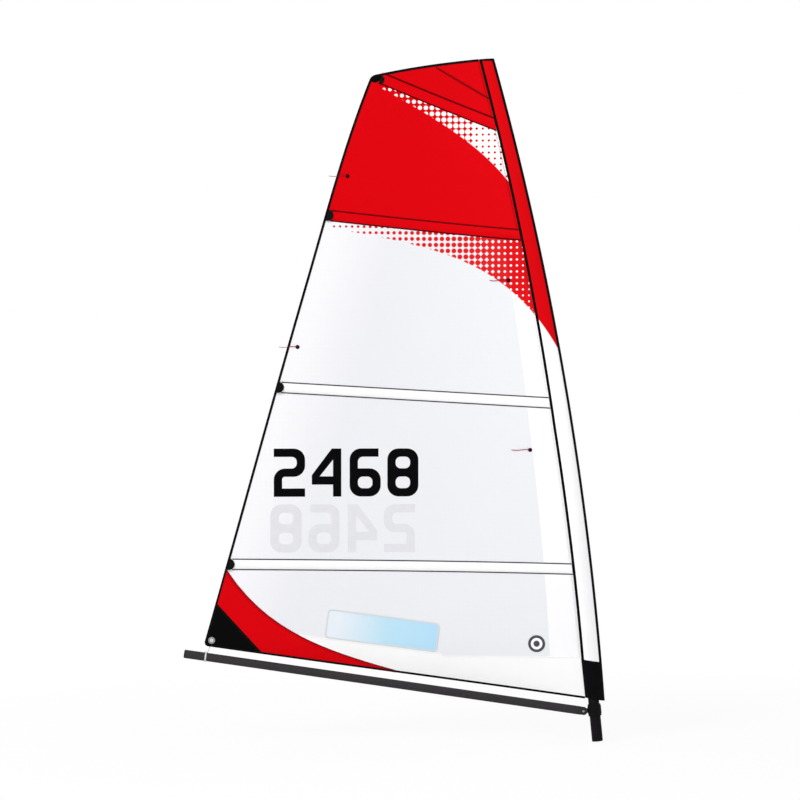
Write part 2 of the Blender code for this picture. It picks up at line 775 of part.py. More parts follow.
def patches():
    """Pieces sewn on the starboard face: clew and tack cloth, and the clear window."""
    foot = shifted(foot_z, MARGIN)
    leech = shifted(leech_x, MARGIN)
    decay = math.exp(-CLEW_PATCH_HOLLOW)

    def fall(x):
        return math.exp(-CLEW_PATCH_HOLLOW * (x - CLEW_X) / CLEW_PATCH_REACH) - decay

    top = BATTENS[0][0] - CLEW_PATCH_CLEAR
    rise = (top - foot_z(leech_x(top))) / fall(leech_x(top))

    def hollow(x):
        return foot_z(x) + rise * fall(x)

    def slanted(x):
        return foot_z(x) + INNER_PATCH_RISE * (1 - (x - CLEW_X) / INNER_PATCH_REACH)

    least = MARGIN + GAP
    tip = CLEW_X - CLEW_PATCH_REACH * math.log(least / rise + decay) / CLEW_PATCH_HOLLOW
    inner_tip = CLEW_X + INNER_PATCH_REACH * (1 - least / INNER_PATCH_RISE)
    far = LAYER + PATCH_THICKNESS
    outline = region(foot, hollow, lambda z: tip, leech)
    seat(cloth_piece("clew_patch_outer", outline, LAYER, far, RED, holes=(eyelet_cutter(),)), swing_axis)
    outline = region(foot, slanted, lambda z: inner_tip, leech)
    seat(cloth_piece("clew_patch_inner", outline, SECOND_LAYER, STACK, BLACK, holes=(eyelet_cutter(),)),
         swing_axis)
    aft_end = seam_x(TACK_CLOTH_TOP) - TACK_CLOTH_REACH
    outline = region(foot, lambda x: TACK_CLOTH_TOP, shifted(seam_x, -GAP * 4), lambda z: aft_end)
    seat(cloth_piece("tack_cloth", outline, LAYER, far, WHITE), swing_axis)
    seat(cloth_piece("window_pane", window_outline(0.0), LAYER, far, CLEAR_BLUE, 0.1), swing_axis)


def tape(name, places, inward):
    """Folded tape over an edge of the sail: a channel swept along places on that edge."""
    wide = (0.0, TAPE_WIDTH, TAPE_WIDTH, TAPE_WALL)
    face = CLOTH_FACE + GAP
    rises = (face + TAPE_WALL, face + TAPE_WALL, face, face)
    half = list(zip(wide, rises))
    section = half + [(w, -y) for w, y in reversed(half)]
    rings = []
    for i, place in enumerate(places):
        back = Vector(places[max(i - 1, 0)])
        ahead = Vector(places[min(i + 1, len(places) - 1)])
        along = (ahead - back).normalized()
        side = Vector((-along.y, along.x)) * inward
        rings.append([(place[0] + side.x * w, y, place[1] + side.y * w) for w, y in section])
    seat(drape(lofted(name, rings, BLACK, roughness=0.7)), swing_axis)


def tapes():
    count = 16
    low, high = foot_z(CLEW_X), HEAD_CORNER_HEIGHT
    heights = [low + (high - low) * i / count for i in range(count + 1)]
    tape("leech_tape", [(leech_x(z), z) for z in heights], -1)
    clear = TAPE_WIDTH * 1.5
    tack_end, _ = crossing(foot_z, seam_x, 0.0)
    xs = stations(tack_end - TAPE_WALL * 3, CLEW_X + clear)
    tape("foot_tape", [(x, foot_z(x)) for x in xs], -1)
    head_end, _ = crossing(head_z, seam_x, 0.0)
    xs = stations(head_end - TAPE_WALL * 3, HEAD_CORNER_X + clear)
    tape("head_tape", [(x, head_z(x)) for x in xs], 1)


# Battens

POCKET_SHAPE = ((-0.5, 0.0), (-0.42, 0.65), (-0.15, 1.0), (0.15, 1.0), (0.42, 0.65), (0.5, 0.0))


def swept(line, rise, section, xs, luff_slant):
    """Rings of a (width, depth) section on a batten's line: upright on the shared grid lines between
    a first ring along the luff and a last one square to the batten."""
    slants = [luff_slant] + [0.0] * (len(xs) - 2) + [math.tan(rise)]
    rings = []
    for x, slant in zip(xs, slants):
        lift = 1 / (math.cos(rise) * (1 + slant * math.tan(rise)))
        rings.append([(x + w * lift * slant, -depth, line(x) + w * lift) for w, depth in section])
    return rings


def batten_set(number):
    _, rise, inset, cap_size, pocket_width = BATTENS[number - 1]
    line = batten_z(number - 1)
    cap_x, cap_z = crossing(line, shifted(leech_x, MARGIN + inset), CLEW_X)
    luff_x, luff_z = crossing(line, shifted(seam_x, -POCKET_LUFF_END), 0.0)
    slant = slope_of(seam_x, luff_z)
    forward = math.cos(rise)
    pocket_end = cap_x + (CAP_REACH - CAP_LAP) * cap_size * forward

    def section(wall):
        width = pocket_width - 2 * wall
        depth = POCKET_DEPTH - 2 * wall
        return [(w * width, LAYER + wall + d * depth) for w, d in POCKET_SHAPE]

    xs = stations(luff_x, pocket_end)
    outer = swept(line, rise, section(0.0), xs, slant)
    inner = swept(line, rise, section(POCKET_WALL), xs, slant)
    pocket = lofted(f"batten_pocket_{number}", outer + inner[::-1], WHITE, joined=True, roughness=0.7)
    seat(drape(pocket), swing_axis)

    rest = LAYER + POCKET_WALL + BATTEN_REST
    top = rest + BATTEN_THICKNESS
    half = BATTEN_WIDTH / 2
    bar = ((-half, rest), (-half, top), (half, top), (half, rest))
    batten_end = pocket_end - (CAP_SOCKET - GAP) * forward
    xs = stations(luff_x - POCKET_WALL, batten_end)
    batten = lofted(f"batten_{number}", swept(line, rise, bar, xs, slant), WHITE, roughness=0.4)
    seat(drape(batten), swing_axis)

    tall = CAP_HALF_HEIGHT * cap_size
    reach = CAP_REACH * cap_size
    flat = reach - tall
    steps = 10
    turns = [math.pi / 2 - math.pi * i / steps for i in range(steps + 1)]
    lean = tall * math.tan(math.atan(slope_of(leech_x, cap_z)) - rise)
    outline = [(-lean, -tall), (lean, tall)] + [(flat + tall * math.cos(a), tall * math.sin(a)) for a in turns]
    face = LAYER + POCKET_DEPTH + GAP
    cap = flat_piece(f"batten_cap_{number}", outline, LAYER, face + CAP_ROOF, BLACK)
    lap = reach - CAP_LAP * cap_size - GAP
    side = pocket_width / 2 + GAP
    slot = half + GAP
    combine(cap, box("pocket_cut", (lap, -face, -side), (reach * 2, 0.0, side)))
    combine(cap, box("batten_cut", (lap - CAP_SOCKET, -top - GAP, -slot), (reach, -rest + GAP, slot)))
    apply_all(cap)
    cap.matrix_basis = Matrix.Translation((cap_x, 0, cap_z)) @ Matrix.Rotation(rise, 4, "Y")
    seat(drape(cap), swing_axis)


# Small fittings on the sail

def button():
    """Sewn round badge: a rim and a hub on a thin web, left plain."""
    web = BUTTON_WEB
    tall = BUTTON_HEIGHT
    inner = BUTTON_RADIUS - BUTTON_RIM
    disc = turned("sail_button",
                  [(0, tall), (BUTTON_HUB, tall), (BUTTON_HUB + web, web), (inner - web, web), (inner, tall),
                   (BUTTON_RADIUS - web, tall), (BUTTON_RADIUS, web), (BUTTON_RADIUS, 0), (0, 0)],
                  (0.10, 0.10, 0.11), roughness=0.4)
    disc.data.transform(Matrix.Rotation(math.pi / 2, 4, "X"))
    disc.data.transform(Matrix.Translation((BUTTON_X, -LAYER, BUTTON_Z)))
    seat(drape(disc), swing_axis)


def catmull(points, per_span, closed):
    """Smooth course through points, with more points on each span."""
    count = len(points)
    spans = count if closed else count - 1
    course = []
    for i in range(spans):
        if closed:
            a, b, c, d = (points[(i + k - 1) % count] for k in range(4))
        else:
            a, b, c, d = (points[min(max(i + k - 1, 0), count - 1)] for k in range(4))
        for step in range(per_span):
            t = step / per_span
            course.append(0.5 * (2 * b + (c - a) * t + (2 * a - 5 * b + 4 * c - d) * t ** 2
                                 + (3 * b - 3 * c + d - a) * t ** 3))
    if not closed:
        course.append(points[-1].copy())
    return course


def cord(name, course, diameter, colour, closed=False, sides=2):
    curve = bpy.data.curves.new(name, "CURVE")
    curve.dimensions = "3D"
    curve.bevel_depth = diameter / 2
    curve.bevel_resolution = sides
    curve.use_fill_caps = True
    spline = curve.splines.new("POLY")
    spline.points.add(len(course) - 1)
    for point, place in zip(spline.points, course):
        point.co = (*place, 1.0)
    spline.use_cyclic_u = closed
    return new_object(name, curve, colour, 0.8)


def telltales():
    """Short yarns that stream aft along the starboard face."""
    for number, (x, z) in enumerate(TELLTALES, 1):
        depth = LAYER + PATCH_THICKNESS * 2 + TELLTALE_DIAMETER / 2
        steps = 5
        points = []
        for i in range(steps + 1):
            px = x - TELLTALE_LENGTH * i / steps
            pz = z + TELLTALE_WAVE * math.sin(math.tau * i / steps)
            points.append(Vector((px, belly(px, pz) - depth, pz)))
        course = catmull(points, 2, False)
        seat(cord(f"telltale_{number}", course, TELLTALE_DIAMETER, RED), swing_axis)


def clew_line_place():
    """Distance along the boom, from its pin, at which the clew is tied."""
    x, _ = eyelet_place()
    return (x - CLEW_LINE_LEAD - PIN.x) / BOOM_AFT.x


def clew_fittings():
    """Eyelet through the clew, and the line that ties it round the boom."""
    x, z = eyelet_place()
    starboard = STACK + GAP
    port = CLOTH_FACE + GAP
    plate = EYELET_PLATE
    ring = turned("clew_eyelet",
                  [(EYELET_HOLE, starboard + plate), (EYELET_FLANGE, starboard + plate),
                   (EYELET_FLANGE, starboard), (EYELET_BARREL, starboard), (EYELET_BARREL, -port),
                   (EYELET_FLANGE, -port), (EYELET_FLANGE, -port - plate), (EYELET_HOLE, -port - plate)],
                  STEEL, closed=True, roughness=0.3, metallic=1.0, steps=SMALL_ROUND)
    ring.data.transform(Matrix.Rotation(math.pi / 2, 4, "X"))
    ring.data.transform(Matrix.Translation((x, 0, z)))
    seat(drape(ring), boom_hinge)

    eye = Vector((x, belly(x, z) - (starboard - port) / 2, z))
    target = PIN + BOOM_AFT * clew_line_place()
    down = (target - eye).normalized()
    drop = (target - eye).length
    thick = CLEW_LINE_DIAMETER / 2
    reach = BOOM_RADIUS + thick + GAP * 2
    slant = abs(down.dot(BOOM_AFT))
    stretch = reach / math.sqrt(1 - slant ** 2)
    start = EYELET_HOLE - thick - GAP * 2
    half = [(0.0, start), (0.006, start + 0.0008), (0.0115, start + 0.005), (0.0145, start + 0.014),
            (0.019, drop * 0.55), (0.0235, drop - 0.016)]
    for turn in (0, 22.5, 45, 67.5):
        a = math.radians(turn)
        half.append((reach * math.cos(a), drop + stretch * math.sin(a)))
    ends = [(0.0, drop + stretch)]
    loop = half + ends + [(-y, d) for y, d in reversed(half[1:])]
    points = [eye + down * d + Vector((0, y, 0)) for y, d in loop]
    line = cord("clew_line", catmull(points, 2, True), CLEW_LINE_DIAMETER, WHITE, closed=True)
    seat(line, boom_hinge)


# Gooseneck

def gooseneck():
    """Collar that turns on the mast between two stop rings, with a tongue for the boom's fork."""
    low = COLLAR_HEIGHT - COLLAR_DEPTH / 2
    high = COLLAR_HEIGHT + COLLAR_DEPTH / 2
    edge = COLLAR_WALL / 4
    inner = MAST_RADIUS + GAP
    collar = turned("gooseneck_collar",
                    [(COLLAR_RADIUS - edge, high), (COLLAR_RADIUS, high - edge), (COLLAR_RADIUS, low + edge),
                     (COLLAR_RADIUS - edge, low), (inner, low), (inner, high)],
                    BLACK, closed=True, roughness=0.5)
    steps = 8
    turns = [math.pi / 2 + math.pi * i / steps for i in range(steps + 1)]
    root = -COLLAR_RADIUS + COLLAR_WALL / 2
    outline = [(root, -TONGUE_RADIUS), (root, TONGUE_RADIUS)]
    outline += [(TONGUE_RADIUS * math.cos(a) - PIN_OFFSET, TONGUE_RADIUS * math.sin(a)) for a in turns]
    outline = [(x, z + COLLAR_HEIGHT) for x, z in outline]
    half = TONGUE_THICKNESS / 2
    combine(collar, flat_piece("tongue", outline, -half, half), "UNION")
    combine(collar, cylinder("pin_cut", PIN_RADIUS + PIN_FIT, -half * 2, half * 2, axis="Y",
                             at=(-PIN_OFFSET, 0, COLLAR_HEIGHT)))
    seat(smooth(apply_all(collar)), swing_axis, placed=True)

    for name, base in (("gooseneck_stop_lower", low - GAP - STOP_DEPTH), ("gooseneck_stop_upper", high + GAP)):
        ring = turned(name, tube_profile(inner + STOP_WALL, inner, base, base + STOP_DEPTH), BLACK,
                      closed=True)
        seat(ring, heel, placed=True)


def boom():
    """Fork, tube and end cap, modelled along Z from the gooseneck pin and laid on the boom's line."""
    nose = BOOM_RADIUS - GAP * 2
    spigot = BOOM_BORE - GAP
    fork_end = FORK_HEAD + FORK_SPIGOT
    chamfer = BOOM_WALL
    fork = turned("boom_fork",
                  [(0, fork_end), (spigot - chamfer, fork_end), (spigot, fork_end - chamfer),
                   (spigot, FORK_HEAD), (BOOM_RADIUS, FORK_HEAD), (BOOM_RADIUS, -BOOM_RADIUS),
                   (0, -BOOM_RADIUS)], BOOM_GREY, roughness=0.45)
    steps = 12
    turns = [math.pi * i / steps for i in range(steps + 1)]
    block = BOOM_RADIUS * 2
    outline = [(-block, fork_end * 2), (block, fork_end * 2), (block, TONGUE_RADIUS)]
    outline += [(nose * math.cos(a), -nose * math.sin(a)) for a in turns]
    outline += [(-block, TONGUE_RADIUS)]
    combine(fork, flat_piece("fork_nose", outline, -block, block), "INTERSECT")
    slot = TONGUE_THICKNESS / 2 + GAP
    depth = TONGUE_RADIUS + FORK_CLEARANCE
    combine(fork, box("fork_slot", (-block, -slot, -block), (block, slot, depth)))
    hole = PIN_RADIUS + PIN_FIT
    combine(fork, cylinder("fork_pin_cut", hole, -block, block, axis="Y"))
    seat(smooth(apply_all(fork)), boom_hinge, placed=True)

    length = clew_line_place() + BOOM_OVERHANG
    tube_end = length - BOOM_CAP
    tube = turned("boom_tube", tube_profile(BOOM_RADIUS, BOOM_BORE, FORK_HEAD + GAP, tube_end - GAP),
                  BOOM_GREY, closed=True, roughness=0.4)
    seat(tube, boom_hinge, placed=True)
    cap = turned("boom_end_cap",
                 [(0, length), (BOOM_RADIUS - BOOM_CAP_EDGE, length),
                  (BOOM_RADIUS - BOOM_CAP_EDGE / 4, length - BOOM_CAP_EDGE / 2),
                  (BOOM_RADIUS, length - BOOM_CAP_EDGE), (BOOM_RADIUS, tube_end), (spigot, tube_end),
                  (spigot, tube_end - BOOM_CAP_SPIGOT), (0, tube_end - BOOM_CAP_SPIGOT)],
                 BLACK, roughness=0.5)
    seat(cap, boom_hinge, placed=True)

    grip = BOOM_RADIUS + GAP
    groove = CLIP_THICKNESS + GAP * 2
    neck = PIN_RADIUS * 0.8
    tail = -grip - GAP
    pin = turned("gooseneck_pin",
                 [(0, grip + PIN_HEAD), (PIN_HEAD_DIAMETER / 2, grip + PIN_HEAD),
                  (PIN_HEAD_DIAMETER / 2, grip), (PIN_RADIUS, grip), (PIN_RADIUS, tail), (neck, tail),
                  (neck, tail - groove), (PIN_RADIUS, tail - groove), (PIN_RADIUS, -grip - PIN_TAIL),
                  (0, -grip - PIN_TAIL)], STEEL, roughness=0.3, metallic=1.0, steps=SMALL_ROUND)
    pin.data.transform(Matrix.Rotation(-math.pi / 2, 4, "X"))
    seat(pin, boom_hinge, placed=True)
    clip = turned("gooseneck_pin_clip",
                  tube_profile(CLIP_DIAMETER / 2, neck + GAP, tail - groove + GAP, tail - GAP),
                  STEEL, closed=True, roughness=0.3, metallic=1.0, steps=SMALL_ROUND)
    clip.data.transform(Matrix.Rotation(-math.pi / 2, 4, "X"))
    seat(clip, boom_hinge, placed=True)


mast_lower()
mast_upper()
sleeve()
panels()
patches()
tapes()
for batten_number in range(1, len(BATTENS) + 1):
    batten_set(batten_number)
button()
telltales()
clew_fittings()
gooseneck()
boom()

print("rake in degrees", round(math.degrees(RAKE), 4))
print("gooseneck pin", [round(value, 5) for value in PIN])
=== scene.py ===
import json
import math

import bmesh
import bpy
from mathutils import Matrix, Vector


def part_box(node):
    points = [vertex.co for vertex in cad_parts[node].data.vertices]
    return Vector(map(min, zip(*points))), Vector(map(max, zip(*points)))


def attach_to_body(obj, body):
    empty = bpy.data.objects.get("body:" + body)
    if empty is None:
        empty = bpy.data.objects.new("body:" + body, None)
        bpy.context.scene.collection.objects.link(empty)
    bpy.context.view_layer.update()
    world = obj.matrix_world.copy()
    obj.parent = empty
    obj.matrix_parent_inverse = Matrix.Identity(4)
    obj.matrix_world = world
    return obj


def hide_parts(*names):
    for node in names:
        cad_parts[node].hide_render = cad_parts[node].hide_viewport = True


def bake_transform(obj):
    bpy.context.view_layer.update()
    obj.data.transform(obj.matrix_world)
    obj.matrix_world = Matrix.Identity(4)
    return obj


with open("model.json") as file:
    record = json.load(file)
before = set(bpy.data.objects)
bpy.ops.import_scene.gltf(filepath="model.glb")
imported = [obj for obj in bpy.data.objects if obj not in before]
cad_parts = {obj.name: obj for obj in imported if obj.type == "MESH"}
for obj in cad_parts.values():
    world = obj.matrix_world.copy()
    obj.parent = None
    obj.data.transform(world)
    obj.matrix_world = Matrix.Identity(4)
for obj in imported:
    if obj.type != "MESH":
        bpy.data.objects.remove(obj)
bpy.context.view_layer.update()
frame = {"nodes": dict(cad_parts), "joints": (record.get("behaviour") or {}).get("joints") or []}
bpy.context.scene.view_settings.view_transform = "Standard"


# Camera, as the picture is taken: square to the sail from starboard
cameraValues = {"lens": 150, "distance": 17.333, "aimX": -1.027, "aimZ": 1.7732}

cameraData = bpy.data.cameras.new("camera")
cameraData.lens = cameraValues["lens"]
cameraData.clip_end = 200
camera = bpy.data.objects.new("camera", cameraData)
camera.location = (cameraValues["aimX"], -cameraValues["distance"], cameraValues["aimZ"])
camera.rotation_euler = (math.pi / 2, 0, 0)
bpy.context.scene.collection.objects.link(camera)
bpy.context.scene.camera = camera


# Shape of the sail, in metres: the luff is an arc, the leech a curve with a set slope at each end
sail = {
    "luffRadius": 17.14, "luffTilt": math.radians(3.405), "headHeight": 3.548, "tackHeight": 0.210,
    "tackPatch": 0.1935, "footPinch": 0.005, "mastRadius": 0.0285, "tipRadius": 0.015, "upperRadius": 0.0235,
    "heelSetback": 0.0231, "bendStart": 1.2603, "bendLength": 1.00, "frontRoom": 0.0035,
    "tipClearance": 0.020, "sleeveWidth": 0.105, "sleeveTop": 0.077, "taperStart": 0.42,
    "skew": 0.235, "sleeveRoom": 0.004, "seamWall": 0.004,
    "clewX": -2.047, "clewZ": 0.4966, "footRise": math.radians(7.86), "footRound": 0.0078,
    "headX": -1.1895, "headZ": 3.4555, "headBulge": 0.012, "slopeLow": 0.2836, "slopeHigh": 0.3237,
    "roachFrom": 2.40, "roach": 0.06, "roachTurn": 0.8,
    "headCorner": 0.042, "clewCorner": 0.020,
    "camber": 0.075, "camberFall": 0.40, "draftForward": 0.40,
    "stripLow": 0.160, "stripHigh": 0.088, "stripLowAt": 0.440, "stripHighAt": 2.630,
}
battens = (  # height at the leech, rise in degrees, width of the pocket
    (0.919, 0.8, 0.060), (1.840, 3.3, 0.060), (2.735, 5.8, 0.0605), (3.468, 22.1, 0.064))
seamDrop = 0.012  # the panels meet this far below each batten's middle line
layers = {"cloth": 0.00075, "patch": 0.00265, "second": 0.00455, "port": 0.00055}  # faces, off the middle

swing = [joint for joint in frame["joints"] if joint["name"] == "sail_swing"][0]
lift = [joint for joint in frame["joints"] if joint["name"] == "boom_lift"][0]
rake = math.atan2(-swing["axis"][0], swing["axis"][2])
pin = Vector(lift["pos_m"])
arcX = sail["mastRadius"] + sail["heelSetback"] - sail["luffRadius"] * math.cos(sail["luffTilt"])
arcZ = -sail["luffRadius"] * math.sin(sail["luffTilt"])


def share(value, low, high):
    return min(max((value - low) / (high - low), 0.0), 1.0)


def onArc(angle, inset):
    reach = sail["luffRadius"] - inset
    return arcX + reach * math.cos(angle), arcZ + reach * math.sin(angle)


def arcAngle(height, inset=0.0):
    return math.asin((height - arcZ) / (sail["luffRadius"] - inset))


tackAngle = arcAngle(sail["tackHeight"])
patchAngle = arcAngle(sail["tackHeight"] + sail["tackPatch"])
headAngle = arcAngle(sail["headHeight"])
bendPlace = (-math.sin(rake) * sail["bendStart"], math.cos(rake) * sail["bendStart"])
bendAngle = math.atan2(bendPlace[1] - arcZ, bendPlace[0] - arcX)
settledAngle = bendAngle + sail["bendLength"] / sail["luffRadius"]
tipAngle = headAngle - sail["tipClearance"] / sail["luffRadius"]


def eased(t, start, startSlope, end, endSlope):
    # cubic from one value and slope to another, with t from 0 to 1
    return ((2 * t ** 3 - 3 * t ** 2 + 1) * start + (t ** 3 - 2 * t ** 2 + t) * startSlope
            + (3 * t ** 2 - 2 * t ** 3) * end + (t ** 3 - t ** 2) * endSlope)


def mastInset(angle):
    # from the luff's arc in to the mast's middle: straight below the bend, along the luff above it
    across = arcX * math.cos(rake) + arcZ * math.sin(rake)
    taper = sail["tipRadius"] - sail["upperRadius"]
    if angle <= bendAngle:
        return sail["luffRadius"] + across / math.cos(angle - rake)
    if angle >= settledAngle:
        return sail["upperRadius"] + taper * share(angle, bendAngle, tipAngle) + sail["frontRoom"]
    span = settledAngle - bendAngle
    slim = taper / (tipAngle - bendAngle)
    start = sail["luffRadius"] + across / math.cos(bendAngle - rake)
    startSlope = across * math.sin(bendAngle - rake) / math.cos(bendAngle - rake) ** 2
    end = sail["upperRadius"] + slim * span + sail["frontRoom"]
    return eased(share(angle, bendAngle, settledAngle), start, span * startSlope, end, span * slim)


def sleeveWidth(angle):
    taper = share(share(angle, tackAngle, headAngle), sail["taperStart"], 1.0)
    pinch = sail["footPinch"] * (1 - share(angle, tackAngle, patchAngle))
    return sail["sleeveWidth"] + (sail["sleeveTop"] - sail["sleeveWidth"]) * taper - pinch


def seamX(height):
    inset = sail["sleeveWidth"]
    for step in range(6):
        angle = arcAngle(height, inset)
        inset = sleeveWidth(angle - sail["skew"] * inset / sail["luffRadius"])
    return onArc(angle, inset)[0]


def leechX(height):
    rise = sail["headZ"] - sail["clewZ"]
    t = (height - sail["clewZ"]) / rise
    if t < 0:
        return sail["clewX"] + (height - sail["clewZ"]) * sail["slopeLow"]
    top = share(height, sail["roachFrom"], sail["headZ"])
    curve = eased(t, sail["clewX"], rise * sail["slopeLow"], sail["headX"], rise * sail["slopeHigh"])
    return curve + sail["roach"] * top ** 2 * (top - sail["roachTurn"])


def footZ(x):
    along = x - sail["clewX"]
    t = along / -sail["clewX"]
    return sail["clewZ"] - along * math.tan(sail["footRise"]) - 4 * sail["footRound"] * t * (1 - t)


topInner = onArc(headAngle + sail["skew"] * sail["sleeveTop"] / sail["luffRadius"], sail["sleeveTop"])


def headZ(x):
    t = (x - sail["headX"]) / (topInner[0] - sail["headX"])
    return sail["headZ"] + (topInner[1] - sail["headZ"]) * t + 4 * sail["headBulge"] * t * (1 - t)


def battenZ(index):
    height, rise = battens[index][:2]
    start = leechX(height)
    return lambda x: height - math.tan(math.radians(rise)) * (x - start)


def stripX(height):
    t = (height - sail["stripLowAt"]) / (sail["stripHighAt"] - sail["stripLowAt"])
    return seamX(height) - sail["stripLow"] - (sail["stripHigh"] - sail["stripLow"]) * t


def shifted(edge, distance):
    return lambda value: edge(value) + distance


battenLines = [battenZ(index) for index in range(len(battens))]
seamLines = [shifted(line, -seamDrop) for line in battenLines]

# Soft waves between the battens, where the cloth isn't held. A swell is a size, its pace by x and by z,
# and a start, and the fan of creases spreads from the clew
waves = {
    "depth": 0.0036, "calmClew": 0.16, "badge": (-0.315, 0.503), "calmBadge": 0.12,
    "swells": ((1.0, 5.1, 3.3, 0.0), (0.6, 9.7, -4.1, 1.3), (0.35, 17.0, 11.0, 0.4)),
    "fan": 8, "fanReach": 0.6, "fanSize": 1.4, "fullGap": 0.6,
}


def waveY(x, z, across):
    edges = [footZ(x)] + [line(x) for line in battenLines] + [headZ(x)]
    for low, high in zip(edges, edges[1:]):
        if low < z < high:
            break
    else:
        return 0.0
    gap = high - low
    between = math.sin(math.pi * (z - low) / gap) ** 2 * min(gap / waves["fullGap"], 1.0)
    fore, up = x - sail["clewX"], z - sail["clewZ"]
    fromClew = math.hypot(fore, up)
    nearClew = math.exp(-(fromClew / waves["calmClew"]) ** 4)
    nearBadge = math.exp(-(math.dist((x, z), waves["badge"]) / waves["calmBadge"]) ** 4)
    sway = sum(size * math.sin(byX * x + byZ * z + start) for size, byX, byZ, start in waves["swells"])
    pull = math.sin(waves["fan"] * math.atan2(up, fore)) * math.exp(-fromClew / waves["fanReach"])
    swell = math.sin(math.pi * across) * between * (1 - nearClew - nearBadge)
    return waves["depth"] * swell * (sway + waves["fanSize"] * pull) / 2


def sailY(x, z):
    fore = seamX(z)
    width = fore - leechX(z)
    across = (fore - x) / width
    if across <= 0 or across >= 1:
        return 0.0
    level = share(z, sail["clewZ"], sail["headZ"])
    depth = sail["camber"] * (1 - sail["camberFall"] * (2 * level - 1) ** 2) * width
    forward = 27 / 4 * across * (1 - across) ** 2
    even = 4 * across * (1 - across)
    deep = depth * (sail["draftForward"] * forward + (1 - sail["draftForward"]) * even)
    return deep + waveY(x, z, across)


print("sail shape ready, mast rake", round(math.degrees(rake), 2))


# Shader kit: sockets with arithmetic, and a tree that adds any node in one call

def operator(operation, reflected=False):
    def combined(signal, other):
        sides = (other, signal) if reflected else (signal, other)
        return signal.kit.add("ShaderNodeMath", {"operation": operation}, dict(enumerate(sides)))
    return combined


class Signal:
    def __init__(self, kit, socket):
        self.kit = kit
        self.socket = socket

    def math(self, operation, *others):
        return self.kit.add("ShaderNodeMath", {"operation": operation}, dict(enumerate((self,) + others)))

    def __abs__(self):
        return self.math("ABSOLUTE")

    __add__ = operator("ADD")
    __radd__ = operator("ADD", True)
    __sub__ = operator("SUBTRACT")
    __rsub__ = operator("SUBTRACT", True)
    __mul__ = operator("MULTIPLY")
    __rmul__ = operator("MULTIPLY", True)
    __truediv__ = operator("DIVIDE")
    __rtruediv__ = operator("DIVIDE", True)


class NodeKit:
    def __init__(self, tree):
        self.tree = tree

    def feed(self, socket, value):
        if isinstance(value, Signal):
            self.tree.links.new(value.socket, socket)
        else:
            socket.default_value = value

    def add(self, kind, settings=None, sockets=None, output=0):
        node = self.tree.nodes.new(kind)
        for setting, value in (settings or {}).items():
            setattr(node, setting, value)
        for socket, value in (sockets or {}).items():
            self.feed(node.inputs[socket], value)
        return Signal(self, node.outputs[output])

    def looked(self):
        # 1 for rays that see a thing straight, mirrored or through glass, 0 for light
        rays = self.add("ShaderNodeLightPath").socket.node.outputs
        straight, mirrored = Signal(self, rays["Is Camera Ray"]), Signal(self, rays["Is Glossy Ray"])
        through = Signal(self, rays["Is Transmission Ray"])
        return straight.math("MAXIMUM", mirrored).math("MAXIMUM", through)


class Finish(NodeKit):
    def __init__(self, name, shine=0.10, metallic=0.0):
        self.material = bpy.data.materials.new(name)
        self.material.use_nodes = True
        super().__init__(self.material.node_tree)
        self.shader = self.tree.nodes["Principled BSDF"]
        self.shader.inputs["Metallic"].default_value = metallic
        self.shader.inputs["Specular IOR Level"].default_value = shine

    def split(self, point):
        node = self.add("ShaderNodeSeparateXYZ", None, {0: point}).socket.node
        return [Signal(self, output) for output in node.outputs]

    def place(self, uvMap="flat"):
        # x and z of the flat sail, or across and along a strip, and both as a point
        point = self.add("ShaderNodeUVMap", {"uv_map": uvMap})
        return (*self.split(point)[:2], point)

    def around(self):
        return self.add("ShaderNodeTexCoord", output="Object")

    def noise(self, point, scale, detail=3.0):
        return self.add("ShaderNodeTexNoise", None,
                        {"Vector": point, "Scale": scale, "Detail": detail, "Roughness": 0.55})

    def stretched(self, point, scale):
        return self.add("ShaderNodeMapping", None, {"Vector": point, "Scale": scale})

    def above(self, value, level, soft=0.001):
        # 0 below a level, 1 above it, with a soft step between
        return self.add("ShaderNodeMath", {"operation": "MULTIPLY_ADD", "use_clamp": True},
                        {0: value, 1: 1 / soft, 2: 0.5 - level / soft})

    def lines(self, value, pitch, level, soft):
        # a thin line at every step of a pitch
        return self.above(abs((value / pitch).math("FRACT") - 0.5), level, soft)

    def waves(self, value, pitch):
        return (value * (math.tau / pitch)).math("SINE")

    def mix(self, factor, first, second):
        return self.add("ShaderNodeMix", {"data_type": "RGBA"}, {0: factor, 6: first, 7: second}, 2)

    def done(self, colour, rough, height=None, depth=0.0, strength=0.5):
        # the material, with its colour, its roughness and a bump of some depth
        self.feed(self.shader.inputs["Base Color"], colour)
        self.feed(self.shader.inputs["Roughness"], rough)
        if height:
            sockets = {"Height": height, "Distance": depth, "Strength": strength}
            self.feed(self.shader.inputs["Normal"], self.add("ShaderNodeBump", None, sockets))
        return self.material


def linear(red, green, blue):
    parts = []
    for level in (red, green, blue):
        level = level / 255
        parts.append(level / 12.92 if level <= 0.04045 else ((level + 0.055) / 1.055) ** 2.4)
    return (*parts, 1.0)


def shade(ink, factor, lift=0.0):
    return tuple(level * factor + lift for level in ink[:3]) + (1.0,)


# Cloth finishes

inks = {
    "red": linear(220, 2, 13), "deepRed": linear(112, 3, 9), "white": linear(253, 253, 253),
    "film": linear(234, 235, 239), "filmPale": linear(245, 244, 247), "black": linear(7, 6, 7),
    # the pale grey for figures seen through the film is painted shade
    "grey": linear(74, 74, 80), "paintedShowThrough": linear(217, 217, 222), "thread": linear(214, 214, 218),
}
fabric = {"shine": 0.03, "pitch": 0.0024, "depth": 0.00014, "bump": 0.6, "slack": 3.0, "slackScale": 26.0,
          "rip": 0.012, "ripHeight": 1.5, "cloudScale": 3.0, "grainScale": 40.0, "grain": 0.16}

